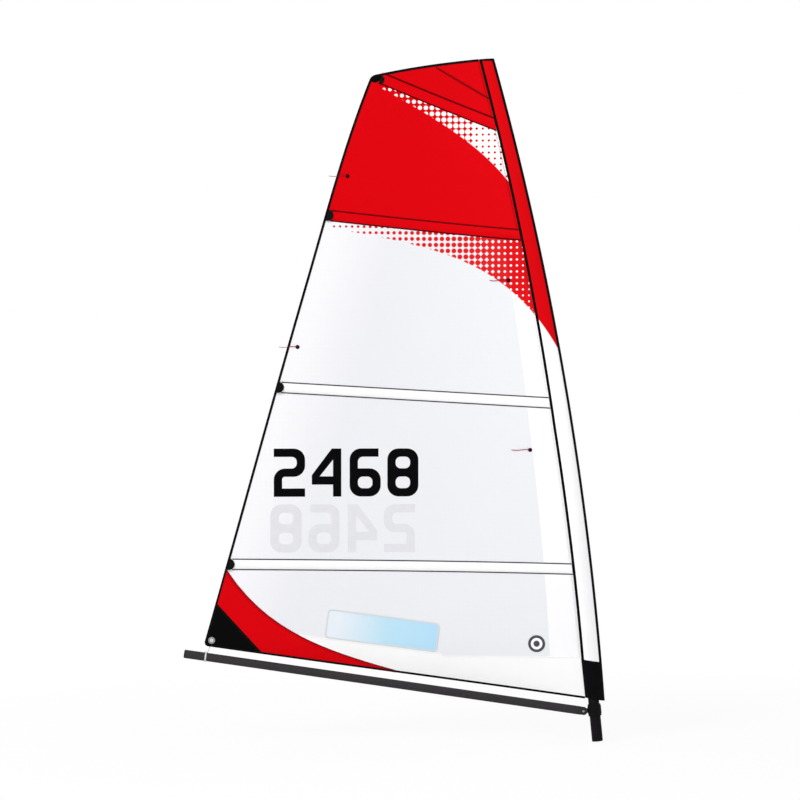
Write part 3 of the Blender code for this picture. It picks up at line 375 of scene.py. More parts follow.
# Dots over a curved edge, which falls off towards the leech. Each line of sizes is a value at an x
# and a slope from there on, and the largest line counts
dotPitch = 0.0312
dotsLow = {
    "x": -0.7147, "z": 2.6140, "aftEnd": -1.390,
    "base": 2.5110, "slope": -0.1187, "drop": 0.9892, "reach": 0.2999,
    "radius": ((0.19, -1.37, 0.35),), "gap": ((0.29, -0.543, -1.6), (0.20, -0.45, -0.65)),
}
dotsHigh = {
    "x": -0.9547, "z": 3.3265, "aftEnd": -1.128,
    "base": 2.8220, "slope": -0.516, "drop": 1.576, "reach": 0.1975,
    "radius": ((0.27, -1.112, 0.40), (0.23, 0.0, 0.0)), "gap": ((0.25, -0.635, -6.0), (0.205, 0.0, 0.0)),
}


def overSweep(finish, x, z, values):
    fall = (x / values["reach"]).math("EXPONENT") * values["drop"]
    return finish.above(z - (values["base"] + x * values["slope"] - fall), 0, 0.004)


def largest(x, sizes):
    first, *others = [value + (x - start) * slope for value, start, slope in sizes]
    for other in others:
        first = first.math("MAXIMUM", other)
    return first


def dotField(finish, x, z, values):
    # ink that starts as round dots and ends as round gaps
    cellX = ((x - values["x"]) / dotPitch + 0.5).math("FRACT") - 0.5
    cellZ = ((z - values["z"]) / dotPitch + 0.5).math("FRACT") - 0.5
    restX, restZ = 0.5 - abs(cellX), 0.5 - abs(cellZ)
    near = (cellX * cellX + cellZ * cellZ).math("SQRT")
    far = (restX * restX + restZ * restZ).math("SQRT")
    bare = finish.above(near - largest(x, values["radius"]), 0, 0.06)
    bare = bare * finish.above(largest(x, values["gap"]) - far, 0, 0.06)
    return (1 - bare) * overSweep(finish, x, z, values) * finish.above(x, values["aftEnd"], 0.004)


def weave(finish, x, z, point, grid):
    # plain weave with a little slack, and a heavier thread at every step of a grid
    threads = finish.waves(x, fabric["pitch"]) * finish.waves(z, fabric["pitch"]) * 0.5
    height = threads + finish.noise(point, fabric["slackScale"], 4.0) * fabric["slack"]
    if grid:
        ripX, ripZ = finish.lines(x, grid, 0.46, 0.03), finish.lines(z, grid, 0.46, 0.03)
        height = height + ripX.math("MAXIMUM", ripZ) * fabric["ripHeight"]
    return height


def woven(finish, place, colour, rough, grid=0.0, grainScale=fabric["grainScale"]):
    grain = finish.noise(place[2], grainScale) * fabric["grain"]
    return finish.done(colour, rough + grain, weave(finish, *place, grid), fabric["depth"], fabric["bump"])


def clothFinish(name, ink, rough=0.54, grid=fabric["rip"], fade=0.10):
    finish = Finish(name, fabric["shine"])
    place = finish.place()
    cloud = finish.noise(place[2], fabric["cloudScale"], 4.0)
    return woven(finish, place, finish.mix(cloud, shade(ink, 1 - fade), ink), rough, grid)


def filmFinish():
    # laminated film: paler to the leech, a net of fine threads inside, and red dots below the third batten
    values = {"leech": 2.175, "lean": 0.2888, "paleTo": 0.20, "paleOver": 0.34, "netShade": 0.10,
              "net": 0.024, "bias": 0.072, "biasLean": 0.6}
    finish = Finish("filmCloth", 0.20)
    x, z, point = finish.place()
    pale = 1 - finish.above(x + values["leech"] - z * values["lean"], values["paleTo"], values["paleOver"])
    ground = finish.mix(pale, inks["film"], inks["filmPale"])
    standing, lying = (finish.lines(value, values["net"], 0.475, 0.02) for value in (x, z))
    slanted = finish.lines(x + z * values["biasLean"], values["bias"], 0.488, 0.01)
    threads = standing.math("MAXIMUM", lying).math("MAXIMUM", slanted)
    ground = finish.mix(threads * values["netShade"], ground, inks["thread"])
    slack = finish.noise(finish.stretched(point, (7.0, 2.0, 1.0)), 2.0) * 6.0
    return finish.done(finish.mix(dotField(finish, x, z, dotsLow), ground, inks["red"]),
                       0.28 + finish.noise(point, 12.0) * 0.14, threads + slack, 0.00012)


def whiteGround(finish, point):
    return finish.mix(finish.noise(point, fabric["cloudScale"], 4.0), inks["filmPale"], inks["white"])


def luffFinish():
    finish = Finish("luffCloth")
    x, z, point = finish.place()
    colour = finish.mix(dotField(finish, x, z, dotsLow), whiteGround(finish, point), inks["red"])
    return woven(finish, (x, z, point), colour, 0.52, fabric["rip"])


def upperFinish():
    # red cloth with white dots under the top batten
    finish = Finish("upperCloth", fabric["shine"])
    x, z, point = finish.place()
    ground = finish.mix(finish.noise(point, 2.5, 4.0), linear(214, 2, 12), inks["red"])
    colour = finish.mix(dotField(finish, x, z, dotsHigh), ground, inks["white"])
    return woven(finish, (x, z, point), colour, 0.50, fabric["rip"])


def sleeveFinish():
    # white cloth with a red top, and black tape along the front edge, the seam and the top
    values = {"front": 0.0148, "seam": 0.0137, "top": 0.0135, "soft": 0.0008}
    finish = Finish("sleeveCloth", fabric["shine"])
    x, z, point = finish.place()
    inset, toSeam, strip = finish.place("strip")
    red = finish.mix(finish.noise(point, fabric["cloudScale"]), linear(203, 5, 13), inks["red"])
    ground = finish.mix(overSweep(finish, x, z, dotsLow), whiteGround(finish, point), red)
    front = 1 - finish.above(inset, values["front"], values["soft"])
    seam = 1 - finish.above(toSeam, values["seam"], values["soft"])
    top = finish.above(z, sail["headHeight"] - values["top"], values["soft"])
    black = front.math("MAXIMUM", seam).math("MAXIMUM", top)
    return woven(finish, (x, z, point), finish.mix(black, ground, inks["black"]), 0.55)


def tackFinish():
    finish = Finish("tackCloth", fabric["shine"])
    x, z, point = finish.place()
    worn = finish.noise(point, 30.0, 4.0)
    colour = finish.mix(worn * 0.5, inks["black"], linear(20, 18, 21))
    return finish.done(colour, 0.55 + worn * 0.15, weave(finish, x, z, point, 0.0), 0.0002, fabric["bump"])


def webbingFinish(name, ink):
    # woven edging: ribs along the strip
    finish = Finish(name, fabric["shine"])
    across, along, point = finish.place("strip")
    worn = finish.noise(point, 60.0, 4.0)
    ribs = finish.waves(along, 0.0022) * finish.waves(across, 0.0012)
    return finish.done(finish.mix(worn * 0.5, ink, shade(ink, 1.6, 0.004)), 0.58 + worn * 0.2,
                       ribs + worn * 2.0, 0.00015, 0.6)


def pocketFinish(name, ground, upperLine, lowerLine, half, thick=0.0065, thin=0.0065):
    # batten pocket: a coloured seam line along both edges
    finish = Finish(name, fabric["shine"])
    across, along, point = finish.place("strip")
    base = finish.mix(finish.noise(point, 6.0, 4.0), shade(ground, 0.93), ground)
    base = finish.mix(finish.above(across, half - thick), base, upperLine)
    base = finish.mix(finish.above(0 - across, half - thin), base, lowerLine)
    return woven(finish, (across, along, point), base, 0.52, 0.0, 50.0)


def paneFinish():
    # clear window: pale blue, deeper towards the luff, with light sweeps across it
    lean = 0.2
    finish = Finish("windowFilm", 0.35)
    x, z, point = finish.place()
    t = finish.above(x - z * lean, window["x"] - window["z"] * lean, window["length"] * 1.1)
    pale = finish.mix(finish.above(t, 0.34, 0.40), linear(230, 237, 244), linear(186, 225, 243))
    tint = finish.mix(finish.above(t, 0.80, 0.5), pale, linear(176, 219, 246))
    ripples = finish.noise(finish.stretched(point, (3.0, 9.0, 1.0)), 3.0, 2.0)
    return finish.done(tint, 0.06 + finish.noise(point, 9.0, 4.0) * 0.08, ripples, 0.0012, 0.35)


def plainInk(name, ink, rough):
    # stuck-on vinyl or ink, a little uneven
    finish = Finish(name, 0.02)
    cloud = finish.noise(finish.place()[2], 30.0, 4.0)
    colour = finish.mix(cloud * 0.5, ink, shade(ink, 1.25, 0.003))
    return finish.done(colour, rough + cloud * 0.14, cloud, 0.00008, 0.4)


def threadFinish(name, ink):
    # twisted sewing thread
    finish = Finish(name, fabric["shine"])
    fibres = finish.noise(finish.around(), 900.0, 2.0)
    return finish.done(finish.mix(fibres, shade(ink, 0.8), ink), 0.5 + fibres * 0.2, fibres, 0.0001)


def yarnFinish():
    finish = Finish("telltaleYarn", fabric["shine"])
    fluff = finish.noise(finish.around(), 700.0)
    return finish.done(finish.mix(fluff, linear(104, 14, 44), linear(170, 30, 70)), 0.85, fluff, 0.0004, 0.8)


# Hard finishes, painted on the model's own parts

def tubeFinish(name, ink, worn, rough):
    # anodised or composite tube: drawn marks along it, fine scratches, paler wear
    finish = Finish(name, 0.03)
    point = finish.around()
    drawn = finish.noise(finish.stretched(point, (400.0, 400.0, 6.0)), 1.0, 2.0)
    blotch = finish.noise(point, 9.0, 4.0)
    scratch = finish.above(finish.noise(finish.stretched(point, (90.0, 90.0, 14.0)), 3.0), 0.70, 0.05)
    base = finish.mix(blotch * 0.55, ink, shade(ink, 1.35))
    return finish.done(finish.mix(scratch * 0.35, base, worn), rough + drawn * 0.12 + blotch * 0.08,
                       drawn + scratch * -0.5, 0.00005)


def mouldedFinish(name, ink, grain=900.0):
    # moulded nylon with a fine grain
    finish = Finish(name, 0.06)
    point = finish.around()
    blotch = finish.noise(point, 20.0, 4.0)
    return finish.done(finish.mix(blotch * 0.6, ink, shade(ink, 1.5, 0.002)), 0.4 + blotch * 0.2,
                       finish.noise(point, grain, 2.0), 0.00012, 0.6)


def steelFinish():
    finish = Finish("polishedSteel", metallic=1.0)
    smear = finish.noise(finish.stretched(finish.around(), (60.0, 60.0, 300.0)), 2.0)
    colour = finish.mix(smear, linear(128, 129, 132), linear(166, 167, 170))
    return finish.done(colour, 0.28 + smear * 0.2, smear, 0.00003, 0.4)


def braidFinish(name, ink, pitch=0.004):
    # braided line: two families of strands crossing, with painted shade in the grooves between them
    finish = Finish(name)
    point = finish.around()
    x, y, z = finish.split(point)
    left, right = (finish.waves(x + y + z * lean, pitch) for lean in (1.7, -1.7))
    height = left.math("MAXIMUM", right)
    # painted shade: the colour darkens where the strands are low, in the grooves between them
    colour = finish.mix(finish.above(height, 0.2, 0.8), shade(ink, 0.72), ink)
    return finish.done(colour, 0.62 + finish.noise(point, 80.0) * 0.16, height, 0.0003, 0.8)


def badgeFinish():
    # a ring and a dot on the button's own disc
    values = {"x": -0.315, "z": 0.503, "ring": 0.030, "dot": 0.016}
    finish = Finish("badgePlastic")
    point = finish.around()
    x, y, z = finish.split(point)
    x, z = x - values["x"], z - values["z"]
    out = (x * x + z * z).math("SQRT")
    dark = finish.above(out, values["ring"]).math("MAXIMUM", 1 - finish.above(out, values["dot"]))
    cloud = finish.noise(point, 60.0)
    grey = finish.mix(cloud, linear(66, 66, 72), linear(84, 84, 90))
    return finish.done(finish.mix(dark, linear(250, 250, 252), grey), 0.34 + cloud * 0.14, cloud, 0.00008)


# Making meshes

def linked(name, mesh, material=None):
    piece = bpy.data.objects.new(name, mesh)
    bpy.context.scene.collection.objects.link(piece)
    if material:
        mesh.materials.append(material)
    return piece


def smoothed(mesh, limit=50):
    mesh.shade_smooth()
    mesh.set_sharp_from_angle(angle=math.radians(limit))


def writeUv(mesh, name, places):
    # one (u, v) for each vertex, copied to its corners
    layer = mesh.uv_layers.new(name=name)
    spots = []
    for loop in mesh.loops:
        spots.extend(places[loop.vertex_index])
    layer.data.foreach_set("uv", spots)


def facedOut(mesh, weld=0.0):
    shape = bmesh.new()
    shape.from_mesh(mesh)
    if weld:
        bmesh.ops.remove_doubles(shape, verts=shape.verts, dist=weld)
    bmesh.ops.recalc_face_normals(shape, faces=shape.faces)
    shape.to_mesh(mesh)
    shape.free()


def baked(piece):
    # the piece's mesh with its modifiers applied, and the piece itself removed
    bpy.context.view_layer.update()
    mesh = bpy.data.meshes.new_from_object(piece.evaluated_get(bpy.context.evaluated_depsgraph_get()))
    bpy.data.objects.remove(piece, do_unlink=True)
    return mesh


def mapped(name, mesh, material, uvMaps):
    facedOut(mesh)
    for uvName, places in uvMaps.items():
        writeUv(mesh, uvName, places)
    smoothed(mesh)
    return linked(name, mesh, material)


def meshFrom(name, points, faces, material, uvMaps):
    mesh = bpy.data.meshes.new(name)
    mesh.from_pydata(points, [], faces)
    return mapped(name, mesh, material, uvMaps)


def spaced(start, end, steps):
    return [start + (end - start) * i / steps for i in range(steps + 1)]


def ribbon(edge, start, end, steps):
    return [(x, edge(x)) for x in spaced(start, end, steps)]


def upright(edge, low, high, steps):
    return [(edge(z), z) for z in spaced(low, high, steps)]


def ahead(course, i):
    return Vector(course[min(i + 1, len(course) - 1)]) - Vector(course[max(i - 1, 0)])


def besides(course, distance):
    # the course moved to its left
    moved = []
    for i, (x, z) in enumerate(course):
        way = ahead(course, i).normalized()
        moved.append((x - way.y * distance, z + way.x * distance))
    return moved


def band(course, near, far):
    return besides(course, far) + besides(course, near)[::-1]


def ringOutline(x, z, radius, steps=28):
    turns = [math.tau * i / steps for i in range(steps)]
    return [(x + radius * math.cos(turn), z + radius * math.sin(turn)) for turn in turns]


def rounded(corners, steps=7):
    # outline whose corners (x, z, radius) are turned into arcs
    outline = []
    count = len(corners)
    for i, (x, z, radius) in enumerate(corners):
        here = Vector((x, z))
        if radius <= 0:
            outline.append((x, z))
            continue
        back = (Vector(corners[i - 1][:2]) - here).normalized()
        onward = (Vector(corners[(i + 1) % count][:2]) - here).normalized()
        half = back.angle(onward) / 2
        middle = here + (back + onward).normalized() * radius / math.sin(half)
        first = here + back * radius / math.tan(half) - middle
        last = here + onward * radius / math.tan(half) - middle
        turn = first.angle_signed(last)
        for step in range(steps + 1):
            outline.append(tuple(middle + Matrix.Rotation(-turn * step / steps, 2) @ first))
    return outline


def corner(edgeZ, edgeX, x):
    # where an edge given by x meets one given by z
    for step in range(40):
        x = edgeX(edgeZ(x))
    return x, edgeZ(x)


def regionCorners(lower, upper, fore, aft):
    return (corner(lower, fore, 0.0), corner(lower, aft, sail["clewX"]),
            corner(upper, fore, 0.0), corner(upper, aft, sail["headX"]))


def regionOutline(lower, upper, fore, aft, steps=16):
    lowFore, lowAft, highFore, highAft = regionCorners(lower, upper, fore, aft)
    aftSide = upright(aft, lowAft[1], highAft[1], steps)[1:-1]
    foreSide = upright(fore, highFore[1], lowFore[1], steps)[1:-1]
    return (ribbon(lower, lowFore[0], lowAft[0], steps) + aftSide
            + ribbon(upper, highAft[0], highFore[0], steps) + foreSide)


def spread(lower, upper, fore, aft, columns, rows):
    # grid of flat places between four edges
    lowFore, lowAft, highFore, highAft = regionCorners(lower, upper, fore, aft)
    grid = []
    for i in range(rows + 1):
        v = i / rows
        foreZ = lowFore[1] + (highFore[1] - lowFore[1]) * v
        aftZ = lowAft[1] + (highAft[1] - lowAft[1]) * v
        foreSide, aftSide = (fore(foreZ), foreZ), (aft(aftZ), aftZ)
        row = []
        for j in range(columns + 1):
            u = j / columns
            lowX = lowFore[0] + (lowAft[0] - lowFore[0]) * u
            highX = highFore[0] + (highAft[0] - highFore[0]) * u
            low, high = (lowX, lower(lowX)), (highX, upper(highX))
            row.append(tuple(
                (1 - v) * low[k] + v * high[k] + (1 - u) * foreSide[k] + u * aftSide[k]
                - (1 - u) * (1 - v) * lowFore[k] - u * (1 - v) * lowAft[k]
                - (1 - u) * v * highFore[k] - u * v * highAft[k] for k in range(2)))
        grid.append(row)
    return grid


def attach(piece, body):
    # foot cloth has no body: its placement is baked into its mesh
    if body:
        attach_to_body(piece, body)
    else:
        start = (leechX(battens[0][0]), 0, battens[0][0])
        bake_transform(piece)


def declareSheet(piece, spots, area=None):
    # flat width and length, kept to a little over three times the area where the cut is thin
    if area is None:
        piece.data.calc_loop_triangles()
        area = sum(triangle.area for triangle in piece.data.loop_triangles) / 2
    (aft, fore), (low, high) = [(min(values), max(values)) for values in zip(*spots)]
    flat = (fore - aft, min(high - low, area * 3 / (fore - aft)))


def clothPanel(name, grid, finish):
    # a sheet with two faces and a rim, laid on the sail over a grid of flat (x, z) places
    rows, columns = len(grid), len(grid[0])
    count = rows * columns
    places = [spot for row in grid for spot in row]
    faced = (layers["cloth"], -layers["cloth"])
    points = [(x, sailY(x, z) - offset, z) for offset in faced for x, z in places]
    faces = []
    area = 0.0
    for i in range(rows - 1):
        for j in range(columns - 1):
            a = i * columns + j
            quad = (a, a + 1, a + columns + 1, a + columns)
            faces.append(quad)
            faces.append(tuple(index + count for index in reversed(quad)))
            (aX, aZ), (bX, bZ), (cX, cZ), (dX, dZ) = (places[index] for index in quad)
            area += abs((aX - cX) * (dZ - bZ) - (dX - bX) * (aZ - cZ)) / 2
    rim = list(range(columns))
    rim += [i * columns + columns - 1 for i in range(1, rows)]
    rim += [(rows - 1) * columns + j for j in range(columns - 2, -1, -1)]
    rim += [i * columns for i in range(rows - 2, 0, -1)]
    for a, b in zip(rim, rim[1:] + rim[:1]):
        faces.append((a, a + count, b + count, b))
    piece = meshFrom(name, points, faces, materials[finish], {"flat": places * 2})
    declareSheet(piece, places, area)
    return piece


def prism(name, outline, height):
    curve = bpy.data.curves.new(name, "CURVE")
    curve.dimensions = "2D"
    curve.fill_mode = "BOTH"
    curve.extrude = height / 2
    fillSpline(curve, outline, True)
    mesh = baked(linked(name + "Curve", curve))
    facedOut(mesh, weld=0.00001)
    return linked(name, mesh)


def fillSpline(curve, spots, closed):
    spline = curve.splines.new("POLY")
    spline.points.add(len(spots) - 1)
    for point, spot in zip(spline.points, spots):
        point.co = (*Vector(spot).to_3d(), 1)
    spline.use_cyclic_u = closed


def cordAlong(name, course, diameter, finish, closed=False):
    curve = bpy.data.curves.new(name, "CURVE")
    curve.dimensions = "3D"
    curve.bevel_depth = diameter / 2
    curve.bevel_resolution = 4
    curve.use_fill_caps = True
    fillSpline(curve, course, closed)
    return linked(name, curve, materials[finish])


def smoothCourse(points, perSpan):
    course = []
    count = len(points)
    for i in range(count - 1):
        a, b, c, d = (points[min(max(i + k - 1, 0), count - 1)] for k in range(4))
        for step in range(perSpan):
            t = step / perSpan
            course.append(0.5 * (2 * b + (c - a) * t + (2 * a - 5 * b + 4 * c - d) * t ** 2
                                 + (3 * b - 3 * c + d - a) * t ** 3))
    course.append(points[-1].copy())
    return course


def cutCloth(name, outline, near, far, finish, cell, holes):
    # cloth of any outline: a fine grid slab cut by the outline, then laid on the sail
    lowX, lowZ = (min(values) - cell for values in zip(*outline))
    highX, highZ = (max(values) + cell for values in zip(*outline))
    columns, rows = math.ceil((highX - lowX) / cell), math.ceil((highZ - lowZ) / cell)
    middle = (lowX + columns * cell / 2, lowZ + rows * cell / 2, 0)
    shape = bmesh.new()
    bmesh.ops.create_grid(shape, x_segments=columns, y_segments=rows, size=0.5)
    bmesh.ops.scale(shape, vec=(columns * cell, rows * cell, 1), verts=shape.verts)
    bmesh.ops.translate(shape, vec=middle, verts=shape.verts)
    slab = bpy.data.meshes.new(name)
    shape.to_mesh(slab)
    shape.free()
    piece = linked(name, slab)
    thicken = piece.modifiers.new("Thickness", "SOLIDIFY")
    thicken.thickness = far - near
    thicken.offset = 0.0
    cutters = [(prism(name + "Outline", outline, (far - near) * 2), "INTERSECT")]
    cutters += [(prism(name + "Hole", hole, (far - near) * 3), "DIFFERENCE") for hole in holes]
    for cutter, operation in cutters:
        cut = piece.modifiers.new("Cut", "BOOLEAN")
        cut.operation = operation
        cut.solver = "EXACT"
        cut.object = cutter
    mesh = baked(piece)
    for cutter, operation in cutters:
        bpy.data.objects.remove(cutter, do_unlink=True)
    places = [(vertex.co.x, vertex.co.y) for vertex in mesh.vertices]
    for vertex in mesh.vertices:
        x, z, depth = vertex.co
        vertex.co = (x, sailY(x, z) - (near + far) / 2 - depth, z)
    mesh.name = name
    return mapped(name, mesh, materials[finish], {"flat": places})


def sweptSkin(name, rings, material, uvMaps, joined=False):
    # skin through closed rings of points: the row of rings is capped, or joined end to end
    size, count = len(rings[0]), len(rings)
    points = [point for ring in rings for point in ring]
    faces = []
    for a in range(count if joined else count - 1):
        b = (a + 1) % count
        for j in range(size):
            k = (j + 1) % size
            faces.append((a * size + j, a * size + k, b * size + k, b * size + j))
    if not joined:
        faces.append(tuple(range(size)))
        faces.append(tuple((count - 1) * size + j for j in range(size)))
    return meshFrom(name, points, faces, material, uvMaps)


def joinedPiece(name, pieces):
    # several meshes of one material made one piece
    shape = bmesh.new()
    material = pieces[0].data.materials[0]
    for piece in pieces:
        shape.from_mesh(piece.data)
        bpy.data.objects.remove(piece, do_unlink=True)
    mesh = bpy.data.meshes.new(name)
    shape.to_mesh(mesh)
    shape.free()
    return linked(name, mesh, material)


stitch = {"step": 0.005, "swing": 0.0018, "rise": 0.0004, "radius": 0.00045}


def zigzag(name, course, thread, offset, face):
    # sewing thread along flat (x, z) places: a thin three-sided tube laid on the cloth
    lengths = [0.0]
    for a, b in zip(course, course[1:]):
        lengths.append(lengths[-1] + math.dist(a, b))
    total = lengths[-1]
    count = max(int(total / stitch["step"]), 2)
    points = []
    index = 0
    for i in range(count + 1):
        s = total * i / count
        while index < len(lengths) - 2 and lengths[index + 1] < s:
            index += 1
        a, b = Vector(course[index]), Vector(course[index + 1])
        t = (s - lengths[index]) / max(lengths[index + 1] - lengths[index], 1e-9)
        way = (b - a).normalized()
        side = Vector((-way.y, way.x)) * (stitch["swing"] if i % 2 else -stitch["swing"])
        x, z = a + (b - a) * t + side
        points.append(Vector((x, sailY(x, z) + face * (offset + stitch["rise"]), z)))
    verts, faces = [], []
    for i, point in enumerate(points):
        side = ahead(points, i).cross(Vector((0, 1, 0))).normalized() * stitch["radius"]
        verts += [point + side, point - side, point + Vector((0, -stitch["radius"], 0))]
        if i:
            a, b = (i - 1) * 3, i * 3
            faces += [(a + j, a + (j + 1) % 3, b + (j + 1) % 3, b + j) for j in range(3)]
    mesh = bpy.data.meshes.new(name)
    mesh.from_pydata(verts, [], faces)
    mesh.shade_smooth()
    return linked(name, mesh, materials[thread])


def sew(name, courses, thread, body, offset, side=-1):
    # rows of zigzag stitches as one piece
    rows = [zigzag(f"{name}{i}", course, thread, offset, side) for i, course in enumerate(courses)]
    attach(joinedPiece(name, rows), body)


def sewAll(body, plans):
    # each plan: name, course, distances to its left, thread, offset, side
    for name, course, distances, thread, offset, side in plans:
        sew(name, [besides(course, distance) for distance in distances], thread, body, offset, side)


def cutAll(body, plans):
    # each plan: name, outline, near, far, finish, cell, holes
    for plan in plans:
        attach(cutCloth(*plan), body)


print("tools ready")


# Sail panels

window = {"length": 0.590, "height": 0.152, "tilt": math.radians(7.6), "x": -1.119, "z": 0.5685,
          "corner": 0.022, "lap": 0.010, "border": 0.0075, "borderLap": 0.0006, "tape": 0.0006,
          "bandGap": 0.001}
eyelet = {"inset": 0.033, "hole": 0.0114, "wideHole": 0.0186}
rimGap = 0.0012  # the panels stop this far inside the sail's edge
seamLap = 0.002  # and reach this far in front of the sleeve's seam

materials = {
    "film": filmFinish(), "luff": luffFinish(), "upper": upperFinish(), "pane": paneFinish(),
    "red": clothFinish("redCloth", inks["red"]),
    "black": clothFinish("blackCloth", inks["black"], 0.47, 0.0),
    "tackWhite": clothFinish("tackWhite", inks["white"], 0.52, fabric["rip"], 0.04),
    "windowTape": clothFinish("windowTape", linear(223, 229, 233), 0.42, 0.0),
    "redSeam": clothFinish("redSeam", inks["deepRed"], 0.52, 0.0),
    "whiteThread": threadFinish("whiteThread", linear(236, 236, 238)),
    "greyThread": threadFinish("greyThread", linear(96, 96, 102)),
    "darkThread": threadFinish("darkThread", linear(52, 50, 54)),
    "redThread": threadFinish("redThread", linear(150, 12, 20)),
    "edging": webbingFinish("blackEdging", inks["black"]),
    "yarn": yarnFinish(), "sticker": plainInk("blackSticker", inks["black"], 0.39),
    "vinyl": plainInk("numberVinyl", linear(5, 4, 6), 0.34),
    # painted shade: faint grey for the other face's numbers seen through the film
    "paintedShowThrough": plainInk("paintedNumberShade", inks["paintedShowThrough"], 0.34),
    "braid": braidFinish("clewBraid", linear(236, 236, 238)), "steel": steelFinish(),
}


def eyeletPlace():
    x = sail["clewX"] + eyelet["inset"]
    for step in range(8):
        z = footZ(x) + eyelet["inset"]
        x = leechX(z) + eyelet["inset"]
    return x, z


def windowOutline(grow):
    turn = Matrix.Rotation(-window["tilt"], 2)
    halfX, halfZ = window["length"] / 2 + grow, window["height"] / 2 + grow
    spots = []
    for signX, signZ in ((-1, -1), (1, -1), (1, 1), (-1, 1)):
        spot = turn @ Vector((signX * halfX, signZ * halfZ))
        spots.append((spot.x + window["x"], spot.y + window["z"], window["corner"] + grow))
    return rounded(spots)


seam = shifted(seamX, seamLap)
leech = shifted(leechX, rimGap)
foot = shifted(footZ, rimGap)
head = shifted(headZ, -rimGap)

headSpot = Vector(corner(headZ, leechX, sail["headX"]))
lower, further = headSpot.y - 0.04, headSpot.x + 0.04
toLeech = (Vector((leechX(lower), lower)) - headSpot).normalized()
toLuff = (Vector((further, headZ(further))) - headSpot).normalized()
headHalf = toLeech.angle(toLuff) / 2
headMiddle = headSpot + (toLeech + toLuff).normalized() * sail["headCorner"] / math.sin(headHalf)
headTangent = sail["headCorner"] / math.tan(headHalf)


def pulledIn(x, z):
    # a place outside the rounded head corner, brought back inside it
    spot = Vector((x, z))
    away = spot - headMiddle
    limit = sail["headCorner"] - rimGap
    inCorner = max((spot - headSpot).dot(toLeech), (spot - headSpot).dot(toLuff)) < headTangent
    if inCorner and away.length > limit:
        spot = headMiddle + away.normalized() * limit
    return spot.x, spot.y


low, mid, high, top = seamLines
panelPlans = (  # name, node, lower, upper, fore, aft, columns, rows, finish, body
    ("headPanel", "head_panel", top, head, seam, leech, 40, 18, "red", "sail_rig"),
    ("upperPanel", "upper_panel", high, top, seam, leech, 60, 44, "upper", "sail_rig"),
    ("midPanel", "mid_film_panel", mid, high, stripX, leech, 64, 48, "film", "sail_rig"),
    ("midLuffPanel", "mid_luff_panel", mid, high, seam, stripX, 10, 48, "luff", "sail_rig"),
    ("lowerPanel", "lower_film_panel", low, mid, stripX, leech, 76, 48, "film", "sail_rig"),
    ("lowerLuffPanel", "lower_luff_panel", low, mid, seam, stripX, 10, 48, "luff", "sail_rig"),
    ("footLuffPanel", "foot_luff_panel", foot, low, seam, stripX, 10, 30, "luff", None),
)
for name, node, lower, upper, fore, aft, columns, rows, finish, body in panelPlans:
    grid = [[pulledIn(x, z) for x, z in row] for row in spread(lower, upper, fore, aft, columns, rows)]
    panel = clothPanel(name, grid, finish)
    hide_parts(node)
    attach(panel, body)
print("panels laid")


# Foot panel, clew and tack cloth, and the window: each cut to an outline between two layers

clewPatch = {"swell": 0.5211, "fall": 3.95, "rise": 0.0983, "drop": 0.0977, "innerRise": 0.293,
             "innerReach": 0.308, "margin": 0.0104, "line": 0.0045, "lineWall": 0.0004,
             "tipLift": 0.0005, "bandLap": 0.002}
tackCloth = {"reach": 0.715, "top": 0.437, "seamGap": 0.0012, "cut": 0.012, "stitch": 0.005,
             "bandStitch": 0.006, "stitchStart": 0.03, "stitchTurn": 0.016, "stitchLuff": 0.006}
eyeX, eyeZ = eyeletPlace()
eyeHole = ringOutline(eyeX, eyeZ, eyelet["hole"])
wideHole = ringOutline(eyeX, eyeZ, eyelet["wideHole"])
face, patchFace, portFace = layers["cloth"], layers["patch"], layers["cloth"] + layers["port"]


def clewCurve(x):
    along = x - sail["clewX"]
    height = clewPatch["swell"] * math.exp(-clewPatch["fall"] * along) + clewPatch["rise"]
    return footZ(x) + height - clewPatch["drop"] * along


def innerCurve(x):
    return footZ(x) + clewPatch["innerRise"] * (1 - (x - sail["clewX"]) / clewPatch["innerReach"])


def bandTop(x):
    # the white foot band comes up to the lower edge of the window
    below = (window["height"] / 2 + window["bandGap"]) / math.cos(window["tilt"])
    return window["z"] - below - (x - window["x"]) * math.tan(window["tilt"])


def crossing(first, second, start, end):
    # where the first line comes down to the second
    for step in range(40):
        middle = (start + end) / 2
        if first(middle) > second(middle):
            start = middle
        else:
            end = middle
    return start


def roundedAt(outline, spot, radius):
    # the outline with its corner at a spot turned into an arc
    at = min(range(len(outline)), key=lambda i: math.dist(outline[i], spot))
    before, after = outline[at - 1], outline[(at + 1) % len(outline)]
    arc = rounded([(*before, 0), (*spot, radius), (*after, 0)])[1:-1]
    return outline[:at] + arc + outline[at + 1:]


footEdge = shifted(footZ, clewPatch["margin"])
leechEdge = shifted(leechX, clewPatch["margin"])
patchFoot = shifted(footZ, clewPatch["margin"] + clewPatch["tipLift"])
clewX, clewZ = sail["clewX"], sail["clewZ"]
outerTip = crossing(clewCurve, patchFoot, clewX + 0.1, clewX + 1.2)
innerTip = crossing(innerCurve, patchFoot, clewX + 0.05, clewX + clewPatch["innerReach"] * 1.2)
outerTop = corner(clewCurve, leechEdge, clewX)[0]
innerTop = corner(innerCurve, leechEdge, clewX)[0]
tackTop, tackFore = tackCloth["top"], seamX(tackCloth["top"])
tackAft = tackFore - tackCloth["reach"]
tackLuff = shifted(seamX, -tackCloth["seamGap"])
bandAft = crossing(clewCurve, bandTop, clewX + 0.1, outerTip)

